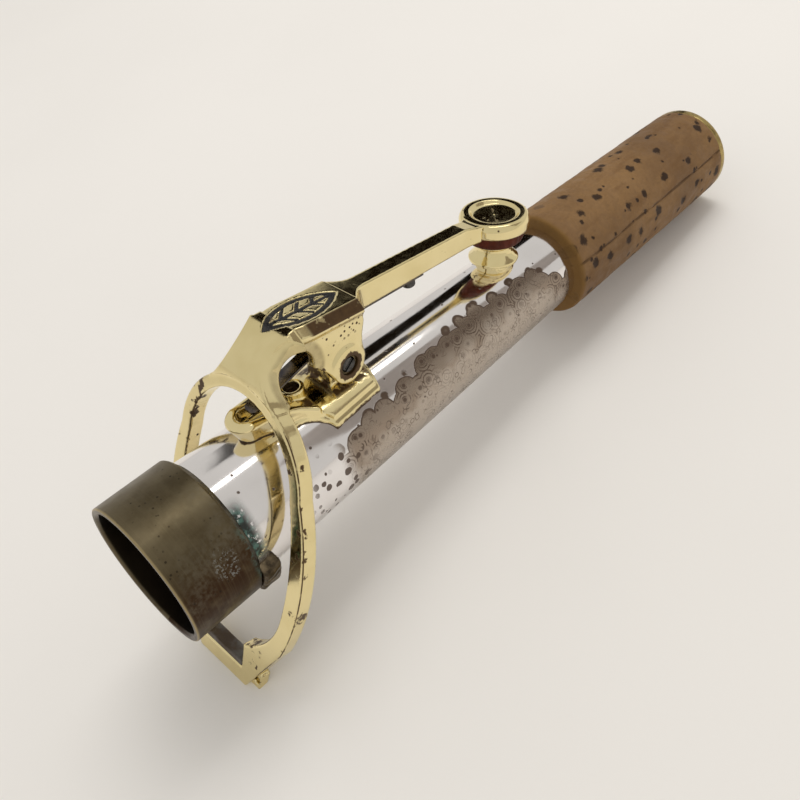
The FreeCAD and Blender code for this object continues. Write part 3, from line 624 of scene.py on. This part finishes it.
inlay_step = 0.1
inlay = solid_mesh("leaf_inlay", inlay_field, (21.6, -3.0, 16.4), (34.0, 3.0, 20.0), inlay_step)
place(inlay, "octave_key", "black_enamel", "ornament_inlay")

roof = CUP_TOP - 1.1
cup = upright("cup_shell", [
    (roof, 0.02), (CUP_TOP - 0.5, 0.02), (CUP_TOP - 0.5, 1.4), (CUP_TOP - 0.5, 2.5), (CUP_TOP - 0.44, 2.9),
    (CUP_TOP - 0.2, 3.15), (CUP_TOP - 0.02, 3.35), (CUP_TOP, 3.7), (CUP_TOP - 0.03, 4.1),
    (CUP_TOP - 0.16, 4.38), (CUP_TOP - 0.45, 4.58), (CUP_TOP - 0.8, CUP_R), (CUP_LOW + 0.25, CUP_R),
    (CUP_LOW, CUP_R - 0.12), (CUP_LOW, CUP_R - 0.6), (roof, CUP_R - 0.6)], 0.14, 192)
place(cup, "octave_key", "lacquered_brass", "pad_cup")


def pad_wave(z, a, r):
    """The leather puckers a little at its rim."""
    return 0.035 * np.sin(23 * a) * np.exp(-((r - PAD_R) / 0.35) ** 2) * (z > PIP_TOP + 0.3)


# The leather dips where the chimney's lip has bedded in.
pad_low = PIP_TOP + 0.03
pad_profile = [(pad_low + 0.06, 0.02), (pad_low + 0.05, 0.8), (pad_low + 0.02, 1.2), (pad_low, 1.6),
               (pad_low, 2.2), (pad_low, 2.5), (pad_low + 0.02, 2.9), (pad_low + 0.08, 3.25),
               (pad_low + 0.22, 3.6), (pad_low + 0.45, 3.82), (pad_low + 0.8, 3.93), (pad_low + 1.2, PAD_R),
               (pad_low + 1.7, PAD_R), (12.5, PAD_R), (12.5, 3.6), (pad_low + 0.4, 3.55),
               (pad_low + 0.36, 0.02)]
pad = lathe("pad_skin", pad_profile, 192, PIP_X, CUP_TILT, PIP_TOP, pad_wave)
place(pad, "octave_key", "pad_leather", "pad_leather")

screw = solid_mesh("hinge_screw", screw_field, (28.9, -3.9, 9.5), (31.9, 3.8, 12.5), 0.1)
place(screw, "octave_key", "steel", "hinge_rod")

seat = lever_top(SPRING_SCREW_X) - ARM_H - SPRING_T
spring_screw = lathe("spring_screw_turned", rounded([
    (seat - 1.1, 0.02), (seat - 1.1, 0.62), (seat - 0.85, 0.88), (seat, 0.9), (seat, 0.45),
    (seat + 1.6, 0.45), (seat + 1.6, 0.02)], 0.1), 64, SPRING_SCREW_X)
place(spring_screw, "octave_key", "steel", "spring_screw")


def strip(name, line, half, thick, per_run=10):
    """Flat leaf that follows (x, z) points along its lower face, narrowed at its first end."""
    pts = []
    for (xa, za), (xb, zb) in zip(line, line[1:]):
        pts += [(xa + (xb - xa) * k / per_run, za + (zb - za) * k / per_run) for k in range(per_run)]
    pts.append(line[-1])
    section = rounded([(-half, 0), (half, 0), (half, thick), (-half, thick)], 0.08, 3)
    m = len(section)
    verts, faces = [], []
    for i, (x, z) in enumerate(pts):
        share = min(1.0, 0.55 + 0.45 * i / 4)
        verts += [(x, p * share, z + q) for p, q in section]
    for i in range(len(pts) - 1):
        for k in range(m):
            q = (k + 1) % m
            faces.append((i * m + k, i * m + q, (i + 1) * m + q, (i + 1) * m + k))
    faces.append(tuple(range(m))[::-1])
    faces.append(tuple((len(pts) - 1) * m + k for k in range(m)))
    return new_object(name, verts, faces)


spring_line = [(18.2, 10.7), (19.0, 11.0)]
spring_line += [(x, lever_top(x) - ARM_H - SPRING_T) for x in (35.6, 46.2)]
spring = strip("spring_leaf", spring_line, 1.0, SPRING_T - 0.01)
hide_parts("flat_spring")
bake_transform(spring)

bumper = solid_mesh("bumper_strip", bumper_field, (3.0, -4.2, -21.9), (7.6, 4.2, -18.6), min(FINE, 0.16))
place(bumper, "octave_key", "bumper", "ring_bumper")


# ---------------------------------------------------------------- materials
class Nodes:
    """Small helper that wires a node material."""

    def __init__(self, name):
        self.material = bpy.data.materials.new(name)
        self.material.use_nodes = True
        self.tree = self.material.node_tree
        self.bsdf = self.tree.nodes["Principled BSDF"]
        self.where = self.add("ShaderNodeTexCoord").outputs["Object"]

    def add(self, kind, inputs=(), **props):
        node = self.tree.nodes.new(kind)
        for key, value in props.items():
            setattr(node, key, value)
        for key, value in dict(inputs).items():
            self.put(node.inputs[key], value)
        return node

    def put(self, socket, value):
        if isinstance(value, bpy.types.NodeSocket):
            self.tree.links.new(value, socket)
        else:
            socket.default_value = value

    def set(self, **values):
        for key, value in values.items():
            self.put(self.bsdf.inputs[key.replace("_", " ")], value)

    def noise(self, scale, detail=3.0, rough=0.55, vector=None):
        return self.add("ShaderNodeTexNoise", {
            "Vector": vector or self.where, "Scale": scale, "Detail": detail,
            "Roughness": rough}).outputs["Fac"]

    def wander(self, size, *noise):
        """Noise that swings either way about zero, by half of size."""
        return self.mul(self.minus(self.noise(*noise), 0.5), size)

    def voronoi(self, scale, vector=None):
        """Cells in space, or on the flat coordinates that are given."""
        return self.add("ShaderNodeTexVoronoi", voronoi_dimensions="2D" if vector else "3D", inputs={
            "Vector": vector or self.where, "Scale": scale}).outputs

    def parts(self, cells):
        return self.add("ShaderNodeSeparateColor", {"Color": cells["Color"]}).outputs

    def skin(self, x, turn, radius):
        """Flat coordinates on a tube: along it, and round it."""
        return self.add("ShaderNodeCombineXYZ", {"X": x, "Y": self.math("MULTIPLY", turn, radius)}).outputs[0]

    def ramp(self, value, low, high, a=0.0, b=1.0):
        return self.add("ShaderNodeMapRange", {
            "Value": value, "From Min": low, "From Max": high, "To Min": a, "To Max": b},
            interpolation_type="SMOOTHSTEP").outputs["Result"]

    def math(self, op, a, b=0.0, clamp=False):
        return self.add("ShaderNodeMath", {0: a, 1: b}, operation=op, use_clamp=clamp).outputs[0]

    def mul(self, a, b):
        return self.math("MULTIPLY", a, b)

    def plus(self, a, b):
        return self.math("ADD", a, b)

    def minus(self, a, b, clamp=False):
        return self.math("SUBTRACT", a, b, clamp)

    def over(self, a, b, clamp=False):
        return self.math("DIVIDE", a, b, clamp)

    def most(self, a, b, clamp=False):
        return self.math("MAXIMUM", a, b, clamp)

    def abs(self, a):
        return self.math("ABSOLUTE", a)

    def hypot(self, a, b):
        return self.math("SQRT", self.plus(self.mul(a, a), self.mul(b, b)))

    def turn(self, y, z):
        """Angle round the tube: zero on top, growing towards the camera's side."""
        return self.math("ARCTAN2", self.mul(y, -1.0), z)

    def mix(self, fac, a, b):
        node = self.add("ShaderNodeMix", {0: fac}, data_type="RGBA")
        for socket, value in ((node.inputs[6], a), (node.inputs[7], b)):
            if not isinstance(value, bpy.types.NodeSocket):
                value = (*value, 1.0) if len(value) == 3 else value
            self.put(socket, value)
        return node.outputs[2]

    def stretch(self, scale):
        return self.add("ShaderNodeMapping", {"Vector": self.where, "Scale": scale}).outputs["Vector"]

    def axes(self):
        return self.add("ShaderNodeSeparateXYZ", {"Vector": self.where}).outputs

    def bump(self, height, distance, strength=1.0):
        node = self.add("ShaderNodeBump", {"Height": height, "Distance": distance, "Strength": strength})
        self.put(self.bsdf.inputs["Normal"], node.outputs["Normal"])


def brass_gold(name, marks=None):
    """Polished gold lacquer: even pale gold, brown where it has worn through on edges and in spots, and where
    the given marks add stains, painted shade and painted reflection lines.
    """
    m = Nodes(name)
    tone = m.mix(m.ramp(m.noise(160, 3), 0.35, 0.7), (0.87, 0.745, 0.41), (0.79, 0.665, 0.345))
    edge = m.ramp(m.add("ShaderNodeNewGeometry").outputs["Pointiness"], 0.525, 0.575)
    worn = m.mul(edge, m.ramp(m.noise(420, 5, 0.7), 0.53, 0.60))
    dots = m.ramp(m.voronoi(900)["Distance"], 0.19, 0.12)
    spots = m.mul(dots, m.ramp(m.noise(240, 2, 0.5), 0.58, 0.66))
    mask = m.most(worn, spots, True)
    if marks:
        mask = m.most(mask, marks(m), True)
    # tone for worn lacquer and stains, also used for the painted shade and painted reflection lines among the
    # marks
    dirt_and_painted_shade = m.mix(m.noise(1500, 2), (0.045, 0.022, 0.008), (0.12, 0.065, 0.022))
    m.set(Base_Color=m.mix(mask, tone, dirt_and_painted_shade), Metallic=m.ramp(mask, 0, 1, 1.0, 0.5))
    rough = m.ramp(m.noise(700, 4), 0.3, 0.8, 0.09, 0.18)
    m.set(Roughness=m.plus(rough, m.mul(mask, 0.3)))
    m.bump(m.minus(m.noise(260, 3), m.mul(mask, 0.8)), 0.00004, 0.3)
    return m.material


def key_marks(m):
    """Where the key's lacquer is gone: round the screw, on edges and limbs. Also a painted dark reflection
    line down the ring's face, and painted shade round the arch's mouth.
    """
    x, y, z = m.axes()
    away = m.hypot(m.minus(x, PIVOT[0] * MM), m.minus(z, PIVOT[1] * MM))
    away = m.plus(away, m.wander(0.0011, 1400, 4, 0.7))
    side = m.ramp(m.abs(y), 0.0030, 0.0034)
    eye = m.mul(m.ramp(away, 0.00185, 0.0017), side)
    # pitting on the cheeks, just below the plate's edge
    pits = m.ramp(m.voronoi(1500)["Distance"], 0.30, 0.2)
    zone = m.mul(m.ramp(x, 0.0265, 0.0275), m.ramp(x, 0.0345, 0.0338))
    zone = m.mul(zone, m.mul(m.ramp(z, 0.0142, 0.0150), m.ramp(z, 0.0176, 0.0172)))
    pits = m.mul(pits, m.mul(zone, side))
    # patches on the ring's limbs and round the hood's front
    limb = m.mul(m.ramp(m.abs(y), 0.0098, 0.0108), m.ramp(m.noise(300, 5, 0.68), 0.640, 0.665))
    hood = m.mul(m.ramp(x, 0.0255, 0.0235), m.ramp(m.abs(y), 0.0034, 0.0042))
    hood = m.mul(m.ramp(m.noise(330, 4, 0.6), 0.61, 0.65), hood)
    # the plate's bevel on the camera side
    level = m.plus(z, m.mul(m.minus(x, PLATE_X0 * MM), PLATE_SLOPE))
    bevel = m.minus(m.minus(level, PLATE_Z0 * MM), y)
    bevel = m.abs(m.minus(bevel, (PLATE_HALF - PLATE_BEVEL) * MM))
    near = m.mul(m.ramp(x, 0.0258, 0.0266), m.ramp(y, -0.0027, -0.0030))
    bevel = m.mul(m.ramp(bevel, 0.00022, 0.00012), near)
    bevel = m.mul(bevel, m.ramp(m.noise(500, 4, 0.65), 0.30, 0.42))
    # painted reflection: a dark line down the ring's face, along its rounded edge
    tilted = m.mul(m.minus(x, RING_X * MM), math.cos(LEAN))
    off = m.minus(tilted, m.mul(z, math.sin(LEAN)))
    painted_edge_reflection = m.ramp(m.abs(m.minus(off, 0.00016)), 0.00010, 0.00005)
    painted_edge_reflection = m.mul(painted_edge_reflection, m.ramp(m.abs(y), 0.0062, 0.0072))
    painted_edge_reflection = m.mul(painted_edge_reflection, m.ramp(m.noise(420, 4, 0.65), 0.34, 0.50))
    # painted shade round the arch's round mouth, in brown patches on its outer sides
    far = m.hypot(m.minus(x, ARCH[0] * MM), m.minus(z, ARCH[1] * MM))
    brown = m.mul(m.ramp(far, 0.0042, 0.0036), m.ramp(m.abs(y), 0.0030, 0.0034))
    brown = m.mul(brown, m.ramp(m.noise(300, 3), 0.3, 0.7, 0.22, 0.6))
    lines = m.most(m.most(eye, bevel), m.most(painted_edge_reflection, brown))
    return m.most(m.most(lines, pits), m.most(limb, hood), True)


def saddle_marks(m):
    """Dirt along the saddle's seam with the tube; painted shade beside the post's foot, under the key's ears,
    and in the boss's hole.
    """
    x, y, z = m.axes()
    r = m.plus(m.hypot(y, z), m.wander(0.0009, 1100, 4, 0.7))
    skin = m.minus(0.00844, m.mul(x, TAPER))
    seam = m.ramp(m.minus(r, skin), 0.00034, 0.00016)
    # painted shade beside the post's foot, where the key's ears hang over the saddle
    post = m.abs(m.minus(x, PIVOT[0] * MM))
    foot = m.mul(m.ramp(post, 0.0034, 0.0026), m.ramp(m.abs(y), 0.0040, 0.0032))
    foot = m.mul(foot, m.ramp(m.noise(700, 3), 0.42, 0.52))
    # painted shade: the boss's hole is darkened below its top
    hole = m.hypot(m.minus(x, BOSS_X * MM), y)
    hole = m.mul(m.ramp(hole, 0.00100, 0.00094), m.ramp(z, BOSS_TOP * MM, (BOSS_TOP - 0.2) * MM))
    return m.most(m.most(seam, hole), foot, True)


def silver_plate():
    """Silver plate with crowded ring-shaped tarnish along one side and stray dark spots."""
    m = Nodes("silver_plate_tarnished")
    x, y, z = m.axes()
    turn = m.turn(y, z)
    skin = m.skin(x, turn, 0.0075)
    # The tarnish starts at an angle that drops away towards both ends; whole cells make its ragged edge.
    front = m.over(m.minus(0.052, x), 0.0264, True)
    rear = m.over(m.minus(x, 0.059), 0.009, True)
    drop = m.plus(m.mul(m.math("POWER", front, 1.8), 0.45), m.mul(m.math("POWER", rear, 2.5), 0.66))
    start = m.plus(0.53, drop)
    cell = m.voronoi(440, skin)
    warp = m.wander(0.16, 1100, 3, 0.6)
    away = m.plus(cell["Distance"], warp)
    inside = m.plus(m.minus(turn, start), m.mul(m.minus(0.16, m.mul(away, away)), 0.40))
    inside = m.plus(inside, m.wander(0.25, 160, 2))
    ends = m.mul(m.ramp(x, 0.0235, 0.0265), m.ramp(x, 0.0697, 0.0690))
    ends = m.mul(ends, m.ramp(turn, 2.7, 2.3))
    band = m.mul(m.ramp(inside, 0.0, 0.03), ends)
    rim = m.mul(m.mul(m.ramp(inside, 0.0, 0.02), m.ramp(inside, 0.075, 0.045)), ends)
    crowded = m.ramp(inside, 0.75, 0.35)
    # rings round each cell's middle, dark cores, and a finer net between
    wave = m.math("SINE", m.plus(m.mul(away, 34.0), m.mul(m.noise(500, 2), 3.0)))
    kind = m.parts(cell)
    rings = m.mul(m.ramp(wave, 0.25, 0.8), m.ramp(m.noise(330, 4, 0.65), 0.42, 0.54))
    rings = m.mul(rings, m.ramp(kind[0], 0.15, 0.6, 0.25, 1.0))
    core = m.mul(m.ramp(away, 0.17, 0.09), m.ramp(kind[1], 0.3, 0.5))
    fine = m.voronoi(1050, skin)
    net = m.ramp(m.abs(m.minus(fine["Distance"], 0.34)), 0.09, 0.03)
    net = m.mul(net, m.ramp(m.noise(600, 3), 0.48, 0.62))
    dark = m.mul(m.most(rings, core), m.mul(band, m.plus(0.3, m.mul(crowded, 0.7))))
    dark = m.most(dark, rim, True)
    dark = m.most(dark, m.mul(m.mul(net, band), 0.75), True)
    # loose flecks in front of the tarnish, and a few stray spots anywhere
    near = m.mul(m.ramp(x, 0.0310, 0.0255), m.ramp(x, 0.0170, 0.0205))
    near = m.mul(near, m.mul(m.ramp(turn, 0.85, 1.05), m.ramp(turn, 2.8, 2.3)))
    blot = m.voronoi(700, skin)
    pick = m.parts(blot)
    size = m.plus(m.mul(pick[0], 0.24), 0.10)
    flecks = m.minus(m.plus(blot["Distance"], m.mul(warp, 2.0)), size)
    flecks = m.mul(m.ramp(flecks, 0.05, 0.0), m.ramp(pick[1], 0.42, 0.46))
    stray = m.voronoi(170, skin)
    stray = m.ramp(m.plus(stray["Distance"], m.mul(warp, 0.3)), 0.034, 0.020)
    dark = m.most(dark, m.most(m.mul(flecks, near), stray), True)
    clean = m.mix(m.ramp(m.noise(90, 3), 0.35, 0.7), (0.88, 0.85, 0.84), (0.80, 0.77, 0.755))
    tone = m.mix(m.mul(band, 0.9), clean, (0.44, 0.37, 0.30))
    tone = m.mix(m.mul(m.mul(band, crowded), 0.75), tone, (0.275, 0.21, 0.157))
    tone = m.mix(m.mul(dark, 0.93), tone, (0.085, 0.052, 0.034))
    # green and black crust in the corner behind the tenon
    corner = m.mul(m.ramp(turn, 0.55, 0.85), m.ramp(turn, 1.75, 1.5))
    crust = m.mul(m.ramp(x, 0.0118, 0.0102), corner)
    crust = m.mul(crust, m.ramp(m.noise(900, 5, 0.7), 0.37, 0.43))
    grime = m.mix(m.ramp(m.noise(1500, 3), 0.4, 0.6), (0.085, 0.17, 0.145), (0.03, 0.035, 0.03))
    tone = m.mix(crust, tone, grime)
    # the bore, a wall's thickness inside the taper
    r = m.plus(m.hypot(y, z), m.mul(x, TAPER))
    tone = m.mix(m.ramp(r, 0.00822, 0.00806), tone, (0.05, 0.045, 0.04))
    m.set(Base_Color=tone, Metallic=m.minus(m.ramp(dark, 0, 1, 1.0, 0.5), m.mul(crust, 0.5), True))
    rough = m.plus(m.mul(band, 0.17), m.mul(m.most(dark, crust), 0.22))
    m.set(Roughness=m.plus(m.ramp(m.noise(300, 4), 0.3, 0.8, 0.08, 0.15), rough))
    m.bump(m.minus(m.noise(180, 2), m.mul(dark, 0.7)), 0.00003, 0.3)
    return m.material


def tenon_brass():
    """Bare brass gone olive brown: faint turning marks, dark red below, grey specks, green in the corner."""
    m = Nodes("bare_brass_patina")
    x, y, z = m.axes()
    turn = m.turn(y, z)
    tone = m.mix(m.ramp(m.noise(150, 5, 0.62), 0.36, 0.66), (0.15, 0.12, 0.07), (0.095, 0.071, 0.038))
    low = m.mul(m.ramp(turn, 0.75, 1.4), m.ramp(m.noise(210, 4), 0.22, 0.5))
    tone = m.mix(m.mul(low, 0.93), tone, (0.034, 0.013, 0.004))
    grey = m.mul(m.ramp(m.noise(95, 3, 0.5), 0.50, 0.66), m.ramp(m.noise(1800, 4), 0.35, 0.65))
    tone = m.mix(m.mul(grey, 0.4), tone, (0.17, 0.15, 0.11))
    marks = m.noise(1.0, 4, 0.7, m.stretch((4200, 60, 60)))
    tone = m.mix(m.mul(m.ramp(marks, 0.45, 0.7), 0.12), tone, (0.22, 0.18, 0.10))
    # a patch of pale specks, about 2 mm and 0.3 radians each way
    du = m.over(m.minus(x, 0.0060), 0.0020)
    dv = m.over(m.minus(turn, 1.22), 0.30)
    blob = m.plus(m.mul(du, du), m.mul(dv, dv))
    patch = m.ramp(m.plus(blob, m.mul(m.noise(900, 3), 1.2)), 1.5, 0.7)
    speck = m.mul(m.ramp(m.noise(2600, 4, 0.7), 0.52, 0.6), patch)
    tone = m.mix(m.mul(speck, 0.4), tone, (0.33, 0.35, 0.33))
    pit = m.ramp(m.voronoi(1400)["Distance"], 0.25, 0.12)
    pit = m.mul(pit, m.ramp(m.noise(260, 2), 0.52, 0.62))
    tone = m.mix(m.mul(pit, 0.7), tone, (0.02, 0.015, 0.01))
    corner = m.mul(m.ramp(x, 0.0082, 0.0092), m.ramp(x, 0.0108, 0.0098))
    corner = m.mul(corner, m.mul(m.ramp(turn, 0.8, 1.1), m.ramp(turn, 1.95, 1.7)))
    green = m.mul(corner, m.ramp(m.noise(900, 4, 0.65), 0.46, 0.55))
    tone = m.mix(m.mul(green, 0.8), tone, (0.08, 0.14, 0.115))
    # dark inside, and bright along the mouth's rubbed outer edge
    r = m.hypot(y, z)
    inner = m.mul(m.ramp(r, 0.00852, 0.00836), m.ramp(x, 0.0, 0.0006))
    inner = m.mul(inner, m.ramp(x, 0.0091, 0.0089))
    tone = m.mix(inner, tone, (0.02, 0.014, 0.008))
    edge = m.ramp(m.abs(m.minus(r, 0.00912)), 0.00014, 0.00005)
    edge = m.mul(edge, m.ramp(x, 0.0003, 0.0001))
    tone = m.mix(m.mul(edge, 0.8), tone, (0.42, 0.33, 0.17))
    m.set(Base_Color=tone, Metallic=m.ramp(m.most(green, speck), 0, 1, 0.95, 0.2))
    m.set(Roughness=m.plus(m.ramp(m.noise(420, 4), 0.3, 0.8, 0.33, 0.48), m.mul(green, 0.4)))
    m.bump(m.plus(m.mul(marks, 0.4), m.noise(1300, 3)), 0.00004, 0.35)
    return m.material


def sheet_cork():
    """Worn sheet cork: warm brown, dark pits of two sizes, a glued seam and a darker front edge."""
    m = Nodes("sheet_cork_worn")
    x, y, z = m.axes()
    turn = m.turn(y, z)
    skin = m.skin(x, turn, 0.0077)
    tone = m.mix(m.ramp(m.noise(85, 4, 0.6), 0.33, 0.68), (0.26, 0.147, 0.060), (0.18, 0.099, 0.042))
    grain = m.parts(m.voronoi(2600))[0]
    tone = m.mix(m.mul(grain, 0.2), tone, (0.10, 0.055, 0.028))
    streak = m.ramp(m.noise(1.0, 4, 0.6, m.stretch((160, 520, 520))), 0.50, 0.68)
    tone = m.mix(m.mul(streak, 0.4), tone, (0.13, 0.062, 0.022))
    warp = m.wander(0.45, 1000, 4, 0.65)
    pit = None
    for scale, low, high, keep in ((240, 0.10, 0.20, 0.40), (420, 0.06, 0.16, 0.62)):
        cell = m.voronoi(scale, skin)
        pick = m.parts(cell)
        size = m.plus(m.mul(pick[0], high - low), low)
        one = m.ramp(m.minus(m.plus(cell["Distance"], warp), size), 0.06, -0.05)
        one = m.mul(one, m.ramp(pick[1], keep, keep + 0.03))
        pit = one if pit is None else m.most(pit, one, True)
    tone = m.mix(m.mul(pit, 0.92), tone, (0.022, 0.010, 0.005))
    gap = m.abs(m.minus(m.plus(turn, m.wander(0.10, 150, 3)), SEAM_ANGLE))
    seam = m.mul(m.ramp(gap, 0.035, 0.008), m.ramp(m.noise(300, 3), 0.38, 0.52))
    tone = m.mix(m.mul(seam, 0.65), tone, (0.055, 0.026, 0.010))
    edge = m.ramp(x, (CORK_X0 + 0.9) * MM, (CORK_X0 + 0.1) * MM)
    tone = m.mix(m.mul(edge, 0.8), tone, (0.20, 0.105, 0.025))
    m.set(Base_Color=tone, Roughness=m.ramp(m.noise(500, 3), 0.3, 0.7, 0.5, 0.75), Specular_IOR_Level=0.22)
    height = m.minus(m.plus(m.noise(1900, 4), m.mul(grain, 0.5)), m.mul(m.most(pit, seam), 2.2))
    m.bump(height, 0.00009, 0.5)
    return m.material


def leather():
    m = Nodes("pad_leather_brown")
    tone = m.mix(m.ramp(m.noise(500, 4), 0.35, 0.65), (0.115, 0.020, 0.007), (0.07, 0.013, 0.005))
    grain = m.voronoi(3500)["Distance"]
    m.set(Base_Color=tone, Roughness=m.ramp(m.noise(800, 3), 0.3, 0.7, 0.42, 0.6), Specular_IOR_Level=0.18)
    m.bump(m.plus(grain, m.noise(2500, 3)), 0.00004, 0.5)
    return m.material


def plain_metal(name, a, b, rough):
    """Metal clouded between two tones, with fine brushing."""
    m = Nodes(name)
    tone = m.mix(m.ramp(m.noise(700, 5, 0.65), 0.35, 0.68), a, b)
    shine = m.ramp(m.noise(900, 3), 0.3, 0.7, rough - 0.06, rough + 0.1)
    m.set(Base_Color=tone, Metallic=1.0, Roughness=shine)
    m.bump(m.noise(1.0, 3, 0.6, m.stretch((300, 2500, 2500))), 0.00002, 0.3)
    return m.material


def dull(name, a, b, rough, scale, bump=0.00005):
    """Plain cloth, card, rubber or enamel, clouded between two tones."""
    m = Nodes(name)
    tone = m.mix(m.ramp(m.noise(scale, 4, 0.6), 0.35, 0.65), a, b)
    m.set(Base_Color=tone, Roughness=m.ramp(m.noise(scale * 2, 3), 0.3, 0.7, rough - 0.08, rough + 0.08))
    m.bump(m.noise(scale * 3, 3), bump, 0.5)
    return m.material


GOLD = brass_gold("lacquered_brass_plain")
KEY_GOLD = brass_gold("lacquered_brass_key", key_marks)
SADDLE_GOLD = brass_gold("lacquered_brass_saddle", saddle_marks)
SILVER = silver_plate()
PATINA = tenon_brass()
BRIGHT = plain_metal("bare_brass_bright", (0.50, 0.38, 0.15), (0.30, 0.215, 0.08), 0.24)
CASTING = plain_metal("bare_brass_casting", (0.17, 0.13, 0.08), (0.05, 0.038, 0.026), 0.36)
CORK = sheet_cork()
LEATHER = leather()
STEEL = plain_metal("dark_steel", (0.11, 0.105, 0.10), (0.03, 0.027, 0.025), 0.24)
BLUED = plain_metal("blued_spring_steel", (0.15, 0.125, 0.10), (0.06, 0.055, 0.06), 0.2)
SOLDER = plain_metal("dull_solder", (0.17, 0.15, 0.11), (0.06, 0.055, 0.045), 0.4)
ENAMEL = dull("black_enamel_fill", (0.006, 0.006, 0.007), (0.02, 0.018, 0.016), 0.28, 900, 0.00003)
BUMPER = dull("grey_contact_strip", (0.14, 0.132, 0.12), (0.06, 0.035, 0.016), 0.42, 300)
FELT = dull("woven_felt", (0.70, 0.66, 0.56), (0.60, 0.55, 0.45), 0.9, 1500, 0.0001)
CARD = dull("stiff_card", (0.55, 0.47, 0.33), (0.46, 0.39, 0.27), 0.85, 800)


def paint(obj, material):
    obj.data.materials.clear()
    obj.data.materials.append(material)


for piece, material in (
        (tube, SILVER), (tenon, PATINA), (bead, SOLDER), (stud, CASTING), (cork, CORK), (tip, BRIGHT),
        (pip, GOLD), (saddle, SADDLE_GOLD), (key, KEY_GOLD), (inlay, ENAMEL), (cup, GOLD), (pad, LEATHER),
        (screw, STEEL), (spring_screw, STEEL), (spring, BLUED), (bumper, BUMPER)):
    paint(piece, material)
for node, material in (("vent_tube", BRIGHT), ("pad_card", CARD), ("pad_felt", FELT)):
    for slot in frame["nodes"][node].material_slots:
        slot.material = material

# ---------------------------------------------------------------- floor, lights, camera
def floor_mesh(size=2.4, n=24):
    """A plane under the ring's foot and the cork, size in metres."""
    middle = Vector((REST_X * MM, 0, FLOOR_Z * MM))
    along = Vector((math.cos(FLOOR_TILT), 0, math.sin(FLOOR_TILT))) * size
    across = Vector((0, 1, 0)) * size
    verts, faces = [], []
    for i in range(n + 1):
        for j in range(n + 1):
            verts.append(tuple((middle + along * (i / n - 0.5) + across * (j / n - 0.5)) / MM))
    for i in range(n):
        for j in range(n):
            a = i * (n + 1) + j
            faces.append((a, a + n + 1, a + n + 2, a + 1))
    return new_object("floor_sheet", verts, faces)


def floor_paper():
    m = Nodes("floor_paper")
    tone = m.mix(m.ramp(m.noise(14, 3), 0.3, 0.7), (0.88, 0.855, 0.825), (0.865, 0.84, 0.81))
    m.set(Base_Color=tone, Roughness=0.9)
    m.bump(m.noise(1800, 2), 0.00005, 0.15)
    return m.material


floor = floor_mesh()
paint(floor, floor_paper())


def area_light(name, at, size, power):
    """A soft light aimed at the middle of the tube."""
    data = bpy.data.lights.new(name, "AREA")
    data.shape = "RECTANGLE"
    data.size, data.size_y = size
    data.energy = power
    data.color = (1.0, 0.985, 0.955)
    obj = bpy.data.objects.new(name, data)
    obj.location = at
    obj.rotation_euler = (Vector((0.045, 0, 0)) - Vector(at)).to_track_quat("-Z", "Y").to_euler()
    bpy.context.scene.collection.objects.link(obj)
    return obj


overhead = area_light("overhead_softbox", (0.195, 0.10, 0.58), (0.30, 0.30), 1.08)
overhead.visible_glossy = False
area_light("strip_softbox", (0.195, -0.014, 0.58), (0.075, 0.42), 0.30)

world = bpy.data.worlds.new("studio")
bpy.context.scene.world = world
world.use_nodes = True
background = world.node_tree.nodes["Background"]
background.inputs["Color"].default_value = (1.0, 0.975, 0.93, 1)
background.inputs["Strength"].default_value = 0.65


def dark_card(name, corners, tone, far=1500.0):
    """A far, dark piece of the room that only shows in reflections; corners are azimuth and height."""
    ring = []
    for azimuth, height in corners:
        a, h = math.radians(azimuth), math.radians(height)
        flat = far * math.cos(h)
        ring.append((45 + flat * math.cos(a), flat * math.sin(a), 10 + far * math.sin(h)))
    card = new_object(name, ring, [tuple(range(len(ring)))], 0)
    card.visible_camera = card.visible_shadow = card.visible_diffuse = False
    look = Nodes(name + "_cloth")
    tones = look.mix(look.noise(3), tone, tuple(0.6 * t for t in tone))
    look.set(Base_Color=tones, Roughness=1.0, Specular_IOR_Level=0.0)
    paint(card, look.material)


dark_card("room_corner", [(26, 11), (46.0, 15), (49.3, 27), (74, 27), (67, 56), (50, 60), (37, 46)],
          (0.012, 0.008, 0.005))
dark_card("room_side", [(-62, 22), (-26, 22), (-28, 48), (-44, 62), (-62, 50)], (0.62, 0.57, 0.54))

camera_data = bpy.data.cameras.new("camera")
camera_data.sensor_width = 36.0
camera_data.lens = 38.43
camera_data.clip_start = 0.005
camera = bpy.data.objects.new("camera", camera_data)
CAMERA_RIGHT = (0.68797, -0.71547, -0.12166)
CAMERA_UP = (0.55409, 0.40956, 0.72474)
CAMERA_BACK = (-0.46870, -0.56601, 0.67820)
CAMERA_AT = (-13.82 * MM, -64.98 * MM, 73.92 * MM)
camera.matrix_world = Matrix((
    (*CAMERA_RIGHT, 0), (*CAMERA_UP, 0), (*CAMERA_BACK, 0), (*CAMERA_AT, 1))).transposed()
bpy.context.scene.collection.objects.link(camera)
bpy.context.scene.camera = camera

bpy.context.scene.view_settings.view_transform = "Standard"
